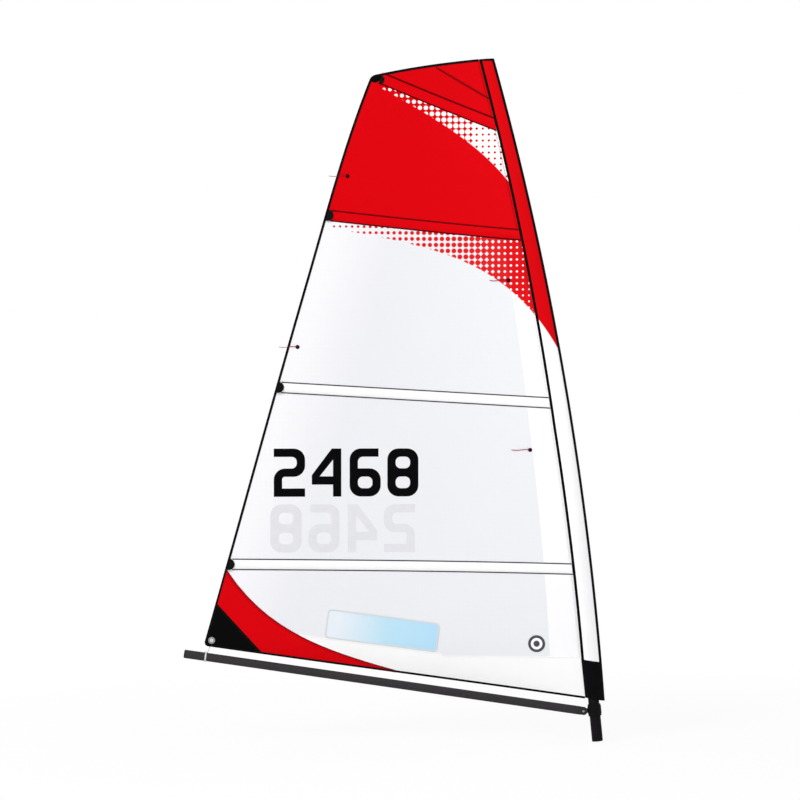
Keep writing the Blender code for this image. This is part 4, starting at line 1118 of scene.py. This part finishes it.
outlines = {
    "foot": roundedAt(regionOutline(foot, low, stripX, leech), corner(foot, leech, clewX),
                      sail["clewCorner"]),
    "band": (ribbon(footEdge, tackAft, outerTip, 16)
             + ribbon(clewCurve, outerTip - clewPatch["bandLap"], bandAft + clewPatch["bandLap"], 24)
             + ribbon(bandTop, bandAft, tackAft - tackCloth["cut"], 24) + [(tackAft, tackTop)]),
    "outer": regionOutline(footEdge, clewCurve, lambda z: outerTip, leechEdge),
    "inner": regionOutline(footEdge, innerCurve, lambda z: innerTip, leechEdge),
    "tack": regionOutline(footEdge, lambda x: tackTop, tackLuff, lambda z: tackAft),
    "window": windowOutline(0),
}
opening = windowOutline(-window["lap"])
footSheets = (  # name, node, outline, near, far, finish, cell, holes
    ("footPanel", "foot_film_panel", "foot", -face, face, "film", 0.03, (opening, eyeHole)),
    ("footBand", None, "band", face, patchFace, "tackWhite", 0.02, ()),
    ("clewPatchRed", "clew_patch_outer", "outer", face, patchFace, "red", 0.02, (eyeHole,)),
    ("clewPatchBlack", "clew_patch_inner", "inner", patchFace, layers["second"], "black", 0.02, (eyeHole,)),
    ("tackPanel", "tack_cloth", "tack", face, patchFace, "tackWhite", 0.02, ()),
    ("windowPane", "window_pane", "window", face, patchFace, "pane", 0.02, ()),
)
for name, node, outline, near, far, finish, cell, holes in footSheets:
    sheet = cutCloth(name, outlines[outline], near, far, finish, cell, holes)
    declareSheet(sheet, outlines[outline])
    if node:
        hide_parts(node)
    attach(sheet, None)

# The red patch ends in a darker seam, the patches are doubled thinly on the port side, and a sewn border
# goes round the window on both faces
outerCourse = ribbon(clewCurve, outerTop, outerTip, 60)
innerCourse = ribbon(innerCurve, innerTop, innerTip, 30)
tackStitchZ = tackTop - tackCloth["stitch"]
tackCourse = ribbon(shifted(bandTop, -tackCloth["bandStitch"]), bandAft + tackCloth["stitchStart"],
                    tackAft - tackCloth["stitchTurn"], 12)
tackCourse += [(tackAft, tackStitchZ), (tackFore - tackCloth["stitchLuff"], tackStitchZ)]
borderCourse = windowOutline(-window["border"] / 2)
borderCourse.append(borderCourse[0])
borderOutline, borderHole = windowOutline(window["borderLap"]), (windowOutline(-window["border"]),)
clewLine = band(outerCourse, -clewPatch["line"], 0.0)
windowFace, portTape = patchFace + window["tape"], face + window["tape"]
secondPort = portFace + layers["port"]
cutAll(None, (
    ("clewSeam", clewLine, patchFace, patchFace + clewPatch["lineWall"], "redSeam", 0.03, ()),
    ("clewRedPort", outlines["outer"], -portFace, -face, "red", 0.02, (wideHole,)),
    ("clewBlackPort", outlines["inner"], -secondPort, -portFace, "black", 0.02, (wideHole,)),
    ("tackPort", outlines["tack"], -portFace, -face, "tackWhite", 0.02, ()),
    ("footBandPort", outlines["band"], -portFace, -face, "tackWhite", 0.02, ()),
    ("windowBorder", borderOutline, patchFace, windowFace, "windowTape", 0.03, borderHole),
    ("windowBorderPort", outlines["window"], -portTape, -face, "windowTape", 0.03, borderHole),
))
sewAll(None, (
    ("clewStitch", outerCourse, (-0.0075, -0.0135), "redThread", patchFace, -1),
    ("clewStitchBlack", innerCourse, (-0.004, -0.010), "darkThread", layers["second"], -1),
    ("clewStitchPort", outerCourse, (-0.005, -0.011), "redThread", portFace, 1),
    ("clewStitchBlackPort", innerCourse, (-0.004, -0.010), "darkThread", secondPort, 1),
    ("tackStitch", tackCourse, (0.0,), "whiteThread", patchFace, -1),
    ("tackStitchPort", tackCourse, (0.0,), "whiteThread", portFace, 1),
    ("windowStitch", borderCourse, (0.0,), "whiteThread", windowFace, -1),
    ("windowStitchPort", borderCourse, (0.0,), "whiteThread", portTape, 1),
))

# The head: a black corner patch on both faces and a dark seam across the head panel
headTrim = {
    "low": 3.4294, "arcLow": 3.4300, "top": (-1.1500, -1.1076), "wall": 0.0005, "seamHalf": 0.0033,
    "inner": ((-1.1102, 3.4570), (-1.1289, 3.4372), (-1.1529, 3.4226)),
    "seam": ((-0.8382, 3.5038), (-0.5621, 3.3390)),
}
headArc = rounded([(*(headSpot + toLeech * 0.05), 0), (*headSpot, sail["headCorner"]),
                   (*(headSpot + toLuff * 0.05), 0)], 9)[1:-1]
cornerPatch = [(leech(headTrim["low"]), headTrim["low"])]
cornerPatch += [(x, z) for x, z in (pulledIn(*spot) for spot in headArc) if z > headTrim["arcLow"]]
cornerPatch += [(x, head(x)) for x in headTrim["top"]] + list(headTrim["inner"])
headSeam = band(headTrim["seam"], -headTrim["seamHalf"], headTrim["seamHalf"])
headFace = face + headTrim["wall"]
cutAll("sail_rig", (
    ("headCornerPatch", cornerPatch, face, headFace, "black", 0.012, ()),
    ("headCornerPort", cornerPatch, -headFace, -face, "black", 0.012, ()),
    ("headSeam", headSeam, face, headFace, "redSeam", 0.03, ()),
))
sewAll("sail_rig", (
    ("headStitch", headTrim["seam"], (0.0065, -0.0065), "redThread", face, -1),
    ("headStitchPort", headTrim["seam"], (0.0040, -0.0040), "redThread", face, 1),
))

# Seam tapes between the panels, on the port side
seamTape = {"half": 0.015, "wall": 0.00025, "seamGap": 0.001,
            "finishes": ("tackWhite", "tackWhite", "red", "red")}
for number, (line, finish) in enumerate(zip(seamLines, seamTape["finishes"]), 1):
    edges = shifted(line, -seamTape["half"]), shifted(line, seamTape["half"])
    outline = regionOutline(*edges, shifted(seamX, -seamTape["seamGap"]), leechEdge)
    if number == 4:
        outline = [pulledIn(*spot) for spot in outline]
    tape = (f"seamTape{number}", outline, -face - seamTape["wall"], -face, finish, 0.03, ())
    cutAll("sail_rig", (tape,))
print("patches laid")


# Edge tapes, folded over the rim of the sail

tapeValues = {"width": 0.0118, "wall": 0.0011, "overEdge": 0.0014, "gap": 0.0002, "stitch": 0.0078,
              "fold": 0.6, "bevel": 0.0006, "bevelFall": 0.0004, "meet": 0.0015, "luffLap": 0.003,
              "arcLap": 0.002}
tapeFace = layers["cloth"] + tapeValues["gap"] + tapeValues["wall"]


def edgeTape(name, node, course, inward, body):
    inner, width = layers["cloth"] + tapeValues["gap"], tapeValues["width"]
    half = []
    for turn in spaced(0, math.pi / 2, 4):
        folded = tapeFace * (1 - math.cos(turn)) * tapeValues["fold"]
        half.append((folded - tapeValues["overEdge"], tapeFace * math.sin(turn)))
    shoulder = (width, tapeFace - tapeValues["bevelFall"])
    half += [(width - tapeValues["bevel"], tapeFace), shoulder, (width, inner)]
    section = half + [(w, -y) for w, y in reversed(half)][:-1]
    rings, places, strips = [], [], []
    along = 0.0
    for i, spot in enumerate(course):
        if i:
            along += math.dist(spot, course[i - 1])
        way = ahead(course, i).normalized()
        side = Vector((-way.y, way.x)) * inward
        ring = []
        for w, y in section:
            x, z = spot[0] + side.x * w, spot[1] + side.y * w
            ring.append((x, sailY(x, z) - y, z))
            places.append((x, z))
            strips.append((w, along))
        rings.append(ring)
    tape = sweptSkin(name, rings, materials["edging"], {"flat": places, "strip": strips})
    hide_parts(node)
    attach(tape, body)


clewArc = rounded([(leechX(clewZ + 0.05), clewZ + 0.05, 0), (clewX, clewZ, sail["clewCorner"]),
                   (clewX + 0.05, footZ(clewX + 0.05), 0)], 7)[1:-1]
meet, luffLap, arcLap = (tapeValues[gap] for gap in ("meet", "luffLap", "arcLap"))
leechCourse = upright(leechX, clewArc[0][1] + meet, headArc[0][1] - meet, 160)
tackX, headEnd = corner(footZ, seamX, 0.0)[0], corner(headZ, seamX, 0.0)[0]
footCourse = ribbon(footZ, tackX - luffLap, clewArc[-1][0] + arcLap, 110)
headCourse = ribbon(headZ, headEnd - luffLap, headArc[-1][0] + arcLap, 50)
edgeTape("leechTape", "leech_tape", leechCourse, -1, None)
edgeTape("footTape", "foot_tape", footCourse + clewArc[::-1] + leechCourse[:1], -1, None)
edgeTape("headTape", "head_tape", headCourse + headArc[::-1] + leechCourse[-1:], 1, "sail_rig")

luffStitch = {"rows": (0.0065, 0.0105), "low": footZ(-0.1) + 0.012, "high": seamLines[0](-0.4),
              "red": 2.250, "top": headZ(headEnd) - 0.014, "lift": 0.0001}
lowLuff = upright(seamX, luffStitch["low"], luffStitch["high"], 20)
midLuff = upright(seamX, luffStitch["high"], luffStitch["red"], 50)
redLuff = upright(seamX, luffStitch["red"], luffStitch["top"], 40)
luffRows, luffFace, tapeRow = luffStitch["rows"], face + luffStitch["lift"], tapeValues["stitch"]
for suffix, side in (("", -1), ("Port", 1)):
    sewAll(None, (
        ("leechStitch" + suffix, leechCourse, (-tapeRow,), "darkThread", tapeFace, side),
        ("footStitch" + suffix, footCourse, (-tapeRow,), "darkThread", tapeFace, side),
        ("luffStitchLow" + suffix, lowLuff, luffRows, "whiteThread", luffFace, side),
    ))
    sewAll("sail_rig", (
        ("headStitchTape" + suffix, headCourse, (tapeRow,), "darkThread", tapeFace, side),
        ("luffStitch" + suffix, midLuff, luffRows, "whiteThread", luffFace, side),
        ("luffStitchRed" + suffix, redLuff, luffRows, "redThread", luffFace, side),
    ))
print("edges taped")


# Batten pockets: a strip sewn along both edges, full over the batten

pocket = {"top": 0.01015, "hem": 0.0065, "curves": (0.7, 0.7, 0.7, 0.35), "hemFace": 0.0010,
          "crownFace": 0.0014, "bevel": 0.0008, "stitch": 0.0034, "portStitch": 0.0004, "endGap": 0.004,
          "luffGap": 0.0015, "headGap": 0.0002, "stations": 90, "stitchLuff": 0.004, "stitchEnd": 0.006}
grey, red, darkRed, inkLine = inks["grey"], inks["red"], inks["deepRed"], linear(40, 4, 8)
whitePocket = pocketFinish("whitePocket", inks["white"], grey, grey, battens[0][2] / 2)
pocketFinishes = (
    whitePocket, whitePocket,
    pocketFinish("redPocket", red, darkRed, inkLine, battens[2][2] / 2, 0.0085, 0.0070),
    pocketFinish("topPocket", red, darkRed, inkLine, battens[3][2] / 2, 0.0100, 0.0065),
)


def pocketSection(half, curve):
    base, inner = layers["cloth"], half - pocket["hem"]
    hem, crown = base + pocket["hemFace"], base + pocket["crownFace"]
    full = [(w, crown + (pocket["top"] - crown) * (1 - (w / inner) ** 2) ** curve)
            for w in spaced(-inner, inner, 14)]
    edge = [(half - pocket["bevel"], crown), (half, hem), (half, base)]
    return [(-w, depth) for w, depth in reversed(edge)] + full + edge


for index, (height, rise, width) in enumerate(battens):
    number = index + 1
    lean = math.radians(rise)
    line = battenLines[index]
    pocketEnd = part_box(f"batten_pocket_{number}")[0][0] + pocket["endGap"]
    luffX, luffZ = corner(line, shifted(seamX, -pocket["luffGap"]), 0.0)
    seamLean = (seamX(luffZ + 0.02) - seamX(luffZ - 0.02)) / 0.04
    rings, places, strips = [], [], []
    stations = pocket["stations"]
    for i, x in enumerate(spaced(luffX, pocketEnd, stations)):
        # the seam's lean at the luff fades over six stations, and the last three turn square to the batten
        slant = seamLean * max(1 - i / 6, 0) + math.tan(lean) * max(i - stations + 3, 0) / 3
        reach = 1 / (math.cos(lean) * (1 + slant * math.tan(lean)))
        ring = []
        for w, depth in pocketSection(width / 2, pocket["curves"][index]):
            px, pz = x + w * reach * slant, line(x) + w * reach
            pz = min(pz, headZ(px) - tapeValues["width"] - pocket["headGap"])
            ring.append((px, sailY(px, pz) - depth, pz))
            places.append((px, pz))
            strips.append((w, (luffX - x) / math.cos(lean)))
        rings.append(ring)
    maps = {"flat": places, "strip": strips}
    strip = sweptSkin(f"battenPocket{number}", rings, pocketFinishes[index], maps)
    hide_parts(f"batten_pocket_{number}")
    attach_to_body(strip, "sail_rig")
    apart = (width / 2 - pocket["stitch"]) / math.cos(lean)
    first, last = luffX - pocket["stitchLuff"], pocketEnd + pocket["stitchEnd"]
    courses = [ribbon(shifted(line, side * apart), first, last, 60) for side in (-1, 1)]
    thread, portThread = ("redThread", "redThread") if index > 1 else ("greyThread", "whiteThread")
    sew(f"pocketStitch{number}", courses, thread, "sail_rig", face + pocket["crownFace"])
    sew(f"pocketStitchPort{number}", courses, portThread, "sail_rig", face + pocket["portStitch"], 1)
print("battens pocketed")


# Luff sleeve and the black cloth round its foot

sleeveValues = {"wall": 0.0015, "steps": 10, "tailCurve": 1.5, "overlap": 0.0004, "swell": 0.0010,
                "ripples": ((0.0007, 41, 0, 1.2), (0.0005, 17, 1, math.inf))}  # size, pace, start, fading


def sleeveRing(angle, wall, swell=0.0):
    width = sleeveWidth(angle)
    middle = mastInset(angle + sail["skew"] * sail["mastRadius"] / sail["luffRadius"])
    body = sail["mastRadius"] + (sail["tipRadius"] - sail["mastRadius"]) * share(angle, bendAngle, tipAngle)
    half = body + sail["sleeveRoom"] - wall + swell
    tail = width - (sail["seamWall"] if wall else 0.0)
    steps = sleeveValues["steps"]
    side = []
    for turn in spaced(0, math.pi / 2, steps)[1:]:
        side.append((middle - (middle - wall) * math.cos(turn), half * math.sin(turn)))
    for turn in spaced(0, math.pi / 2, steps + 2)[1:-1]:
        thin = half * math.cos(turn) ** sleeveValues["tailCurve"]
        side.append((middle + (tail - middle) * math.sin(turn), thin))
    section = [(wall, 0.0)] + side + [(tail, 0.0)] + [(inset, -y) for inset, y in reversed(side)]
    ring, places, strips = [], [], []
    for inset, y in section:
        x, z = onArc(angle + sail["skew"] * inset / sail["luffRadius"], inset)
        ring.append((x, y, z))
        places.append((x, z))
        strips.append((inset, width - inset))
    return ring, places, strips


def ripple(angle):
    # slack rings in the sleeve, strongest low down
    height = (angle - tackAngle) * sail["luffRadius"]
    return sum(size * math.sin(height * pace + start) * math.exp(-height / fading)
               for size, pace, start, fading in sleeveValues["ripples"])


def sleevePiece(name, node, low, high, count, material, swell, joined):
    angles = spaced(low, high, count)
    made = [sleeveRing(angle, sleeveValues["wall"]) for angle in reversed(angles)]
    made += [sleeveRing(angle, 0.0, swell + ripple(angle)) for angle in angles]
    rings, places, strips = zip(*made)
    maps = {"flat": [spot for ring in places for spot in ring],
            "strip": [spot for ring in strips for spot in ring]}
    piece = sweptSkin(name, rings, material, maps, joined)
    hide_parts(node)
    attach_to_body(piece, "sail_rig")


sleevePiece("luffSleeve", "luff_sleeve", patchAngle, headAngle, 130, sleeveFinish(), 0.0, False)
sleevePiece("tackSleeve", "tack_patch", tackAngle, patchAngle + sleeveValues["overlap"], 22, tackFinish(),
            sleeveValues["swell"], True)
print("sleeve sewn")


# Telltales: a yarn and its round sticker at each place

telltale = {"length": 0.100, "wave": 0.0025, "diameter": 0.003, "sticker": 0.0105, "stickerAft": 0.003,
            "stickerWall": 0.0020, "lift": 0.00365, "steps": 5,
            "places": ((-0.346, 1.513), (-0.460, 2.397), (-1.557, 2.049), (-1.297, 2.938))}

for number, (x, z) in enumerate(telltale["places"], 1):
    spots = []
    for t in spaced(0, 1, telltale["steps"]):
        px, pz = x - telltale["length"] * t, z + telltale["wave"] * math.sin(math.tau * t)
        onSail = sailY(px, pz) if px > leechX(pz) else 0.0
        spots.append(Vector((px, onSail - telltale["lift"] - telltale["diameter"] / 2, pz)))
    yarn = cordAlong(f"telltaleYarn{number}", smoothCourse(spots, 8), telltale["diameter"], "yarn")
    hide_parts(f"telltale_{number}")
    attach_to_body(yarn, "sail_rig")
    sticker = ringOutline(x - telltale["stickerAft"], z, telltale["sticker"])
    sheet = (f"telltaleSticker{number}", sticker, face, face + telltale["stickerWall"], "sticker", 0.012, ())
    cutAll("sail_rig", (sheet,))
print("telltales tied")


# Sail numbers: plain figures on both faces, and on each face a faint grey painted shade of the other face's
# figures, where they would show through the film

figures = {"height": 0.251, "width": 0.162, "stroke": 0.043, "gap": 0.035, "text": "2468", "outer": 0.058,
           "inner": 0.026, "turn": 0.014, "wall": 0.0004, "paintedShadeWall": 0.0002,
           "starboard": (-1.684, 1.520), "port": (-1.702, 1.229)}  # left end and top of each row


def figureOutline(letter):
    # outline of a figure and the outlines of its holes
    w, h, s = figures["width"], figures["height"], figures["stroke"]
    low, high = (h - s) / 2, (h + s) / 2
    out, inn = figures["outer"], figures["inner"]
    lowerHole = rounded([(s, s, inn), (w - s, s, inn), (w - s, low, inn), (s, low, inn)])
    upperHole = rounded([(s, high, inn), (w - s, high, inn), (w - s, h - s, inn), (s, h - s, inn)])
    if letter == "2":
        corners = [(0, 0, 0), (w, 0, 0), (w, s, 0), (s, s, 0), (s, low, figures["turn"]), (w, low, out),
                   (w, h, out), (0, h, 0), (0, h - s, 0), (w - s, h - s, inn), (w - s, high, inn),
                   (0, high, out)]
        return rounded(corners), ()
    if letter == "4":
        bar = h * 0.25
        corners = [(w - s * 1.2, 0, 0), (w - s * 0.2, 0, 0), (w - s * 0.2, h, 0), (w - s * 1.35, h, 0),
                   (0, bar + s * 1.15, 0.010), (0, bar, 0), (w - s * 1.2, bar, 0)]
        hole = [(w - s * 1.2, bar + s), (w - s * 1.2, h - s * 1.35), (s * 0.95, bar + s)]
        return rounded(corners), (hole,)
    if letter == "6":
        corners = [(0, 0, out), (w, 0, out), (w, high, out), (s, high, 0), (s, h - s, inn),
                   (w * 0.93, h - s, 0), (w * 0.93, h, 0), (0, h, out)]
        return rounded(corners), (lowerHole,)
    return rounded([(0, 0, out), (w, 0, out), (w, h, out), (0, h, out)]), (lowerHole, upperHole)


def figureRow(name, place, near, far, finish, mirrored):
    left, top = figures[place]
    pieces = []
    step = figures["width"] + figures["gap"]
    total = step * len(figures["text"]) - figures["gap"]
    for index, letter in enumerate(figures["text"]):
        outline, holes = figureOutline(letter)
        shapes = []
        for shape in (outline, *holes):
            shape = [(step * index + x, top - figures["height"] + z) for x, z in shape]
            if mirrored:
                shape = [(total - x, z) for x, z in reversed(shape)]
            shapes.append([(left + x, z) for x, z in shape])
        pieces.append(cutCloth(f"{name}{index}", shapes[0], near, far, finish, 0.025, shapes[1:]))
    row = joinedPiece(name, pieces)
    smoothed(row.data)
    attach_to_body(row, "sail_rig")


figureRow("starboardNumber", "starboard", face, face + figures["wall"], "vinyl", False)
# painted shade of the port numbers, on the starboard face, where they would show through the film
figureRow("starboardPaintedShade", "port", face, face + figures["paintedShadeWall"], "paintedShowThrough", True)
figureRow("portNumber", "port", -face - figures["wall"], -face, "vinyl", True)
# painted shade of the starboard numbers, on the port face, where they would show through the film
figureRow("portPaintedShade", "starboard", -face - figures["paintedShadeWall"], -face, "paintedShowThrough", False)
print("numbers stuck on")


# Lashing at the clew: a stopper knot in the eyelet, a leg on the port side and two turns round the boom

lashing = {
    "diameter": 0.0042, "boomRise": math.radians(8.15), "boomRadius": 0.022,
    "knot": 0.0024, "knotSteps": 72, "knotOut": 0.0108,
    "lead": 0.031, "pitch": 0.0044, "gap": 0.0004, "startTurn": 46, "turns": 2.0, "aftTurns": 1.10,
    "leg": ((0, -0.0085, 0), (0, -0.003, -0.001), (-0.0005, 0.0035, -0.0035), (-0.002, 0.0064, -0.010),
            (-0.0050, 0.0070, -0.020)),
}
boomAft = Vector((-math.cos(lashing["boomRise"]), 0, math.sin(lashing["boomRise"])))
boomUp = Vector((math.sin(lashing["boomRise"]), 0, math.cos(lashing["boomRise"])))


def onBoom(along, turn, out=0.0):
    # a place round the boom: distance aft of its pin, turn in degrees up from port, distance off its skin
    reach = lashing["boomRadius"] + out
    angle = math.radians(turn)
    return pin + boomAft * along + Vector((0, reach * math.cos(angle), 0)) + boomUp * reach * math.sin(angle)


def knot(name, place, out, up):
    # overhand knot, flat against what it stops on
    across = up.cross(out)
    size = lashing["knot"]
    course = []
    for t in spaced(0, math.tau, lashing["knotSteps"])[:-1]:
        course.append(place + across * size * (math.sin(t) + 2 * math.sin(2 * t))
                      + up * size * (math.cos(t) - 2 * math.cos(2 * t)) - out * size * math.sin(3 * t))
    attach(cordAlong(name, course, lashing["diameter"], "braid", True), "boom")


eye = Vector((eyeX, sailY(eyeX, eyeZ), eyeZ))
middle = (eyeX - lashing["lead"] - pin.x) / boomAft.x
legs = [eye + Vector(step) for step in lashing["leg"]]
wraps = []
for turned in spaced(0, lashing["turns"], int(lashing["turns"] * 24)):
    along = middle + (turned - lashing["aftTurns"]) * lashing["pitch"]
    away = lashing["diameter"] / 2 + lashing["gap"]
    wraps.append(onBoom(along, lashing["startTurn"] - 360 * turned, away))
line = cordAlong("clewLashing", smoothCourse(legs + wraps, 5), lashing["diameter"], "braid")
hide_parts("clew_line")
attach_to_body(line, "boom")
knot("clewKnot", eye + Vector((0, -lashing["knotOut"], 0)), Vector((0, -1, 0)), Vector((0, 0, 1)))
knotAlong = middle + lashing["pitch"]
portKnot = onBoom(knotAlong, lashing["startTurn"], lashing["diameter"] + 2 * lashing["gap"])
knot("boomKnot", portKnot, (portKnot - (pin + boomAft * knotAlong)).normalized(), boomAft)
print("clew lashed")


# Blind rivets that hold the fork and the end cap in the boom's tube

rivets = {"radius": 0.0030, "rise": 0.0011, "sunk": 0.0004, "sides": 14, "levels": 5,
          "along": (0.045, 0.080, 2.012), "turns": (90, 270)}


def rivet(along, turn):
    out = (onBoom(along, turn, 0.01) - onBoom(along, turn)).normalized()
    across = out.cross(boomAft)
    sides, levels = rivets["sides"], rivets["levels"]
    rings = []
    for level in range(levels):
        slope = math.pi / 2 * level / levels
        centre = onBoom(along, turn, rivets["rise"] * math.sin(slope) - rivets["sunk"])
        circle = ringOutline(0, 0, rivets["radius"] * math.cos(slope), sides)
        rings.append([centre + across * a + boomAft * b for a, b in circle])
    return sweptSkin("boomRivet", rings, materials["steel"], {"flat": [(0, 0)] * (levels * sides)})


heads = [rivet(along, turn) for along in rivets["along"] for turn in rivets["turns"]]
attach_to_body(joinedPiece("boomRivets", heads), "boom")


# Finishes of the parts that keep the model's own shape

blackMoulding = mouldedFinish("blackMoulding", linear(11, 10, 11))
keptParts = (
    (tubeFinish("mastTube", linear(22, 20, 22), linear(62, 60, 62), 0.34),
     ("mast_lower_tube", "mast_upper_tube")),
    (tubeFinish("boomTube", linear(53, 51, 53), linear(100, 98, 100), 0.38), ("boom_tube",)),
    (blackMoulding, ("mast_heel_plug", "mast_upper_foot_plug", "mast_joint_collar", "mast_tip_plug")),
    (blackMoulding, ("gooseneck_collar", "gooseneck_stop_lower", "gooseneck_stop_upper")),
    (blackMoulding, [f"batten_cap_{number}" for number in range(1, 5)]),
    (mouldedFinish("greyMoulding", linear(44, 42, 43)), ("boom_fork", "boom_end_cap")),
    (materials["steel"], ("gooseneck_pin", "gooseneck_pin_clip", "clew_eyelet")),
    (mouldedFinish("battenStrip", linear(222, 222, 214), 300.0),
     [f"batten_{number}" for number in range(1, 5)]),
    (badgeFinish(), ("sail_button",)),
)
for material, nodes in keptParts:
    for node in nodes:
        mesh = frame["nodes"][node].data
        mesh.materials.clear()
        mesh.materials.append(material)
        smoothed(mesh, 35)
print("parts painted")


# Floor, world and lamps

studio = {"floor": 0.93, "floorHalf": 60, "floorZ": -0.003, "nearGlow": 0.88, "world": 0.66,
          "fadeFrom": 3.2, "fadeOver": 3.6, "aim": (-1.0, 0, 1.7)}
lamps = (  # name, place, size, power
    ("keyLamp", (-6.5, -8.0, 7.5), 4.0, 595),
    ("fillLamp", (6.0, 7.0, 6.0), 5.0, 160),
)


def floorFinish():
    # white to the camera far off, a little darker and shaded near the rig
    finish = Finish("floor")
    finish.done((studio["floor"], studio["floor"], studio["floor"], 1), 0.9)
    glow = finish.add("ShaderNodeEmission", None, {"Color": (1, 1, 1, 1), "Strength": 1.0})
    away = finish.add("ShaderNodeVectorMath", {"operation": "LENGTH"}, {0: finish.around()}, 1)
    far = finish.above(away, studio["fadeFrom"], studio["fadeOver"])
    factor = finish.looked() * (studio["nearGlow"] + far * (1 - studio["nearGlow"]))
    surface = Signal(finish, finish.shader.outputs[0])
    blend = finish.add("ShaderNodeMixShader", None, {0: factor, 1: surface, 2: glow})
    output = [node for node in finish.tree.nodes if node.type == "OUTPUT_MATERIAL"][0]
    finish.feed(output.inputs[0], blend)
    return finish.material


half, low = studio["floorHalf"], studio["floorZ"]
floorMesh = bpy.data.meshes.new("floor")
floorMesh.from_pydata([(-half, -half, low), (half, -half, low), (half, half, low), (-half, half, low)], [],
                      [(0, 1, 2, 3)])
floor = linked("floor", floorMesh, floorFinish())

world = bpy.data.worlds.new("studio")
bpy.context.scene.world = world
world.use_nodes = True
sky = NodeKit(world.node_tree)
background = sky.tree.nodes["Background"]
background.inputs["Color"].default_value = (1, 1, 1, 1)
sky.feed(background.inputs["Strength"], sky.looked() * (1 - studio["world"]) + studio["world"])

for name, place, size, power in lamps:
    data = bpy.data.lights.new(name, "AREA")
    data.size = size
    data.energy = power
    lamp = bpy.data.objects.new(name, data)
    lamp.location = place
    lamp.rotation_euler = (Vector(studio["aim"]) - Vector(place)).to_track_quat("-Z", "Y").to_euler()
    bpy.context.scene.collection.objects.link(lamp)
print("studio lit")
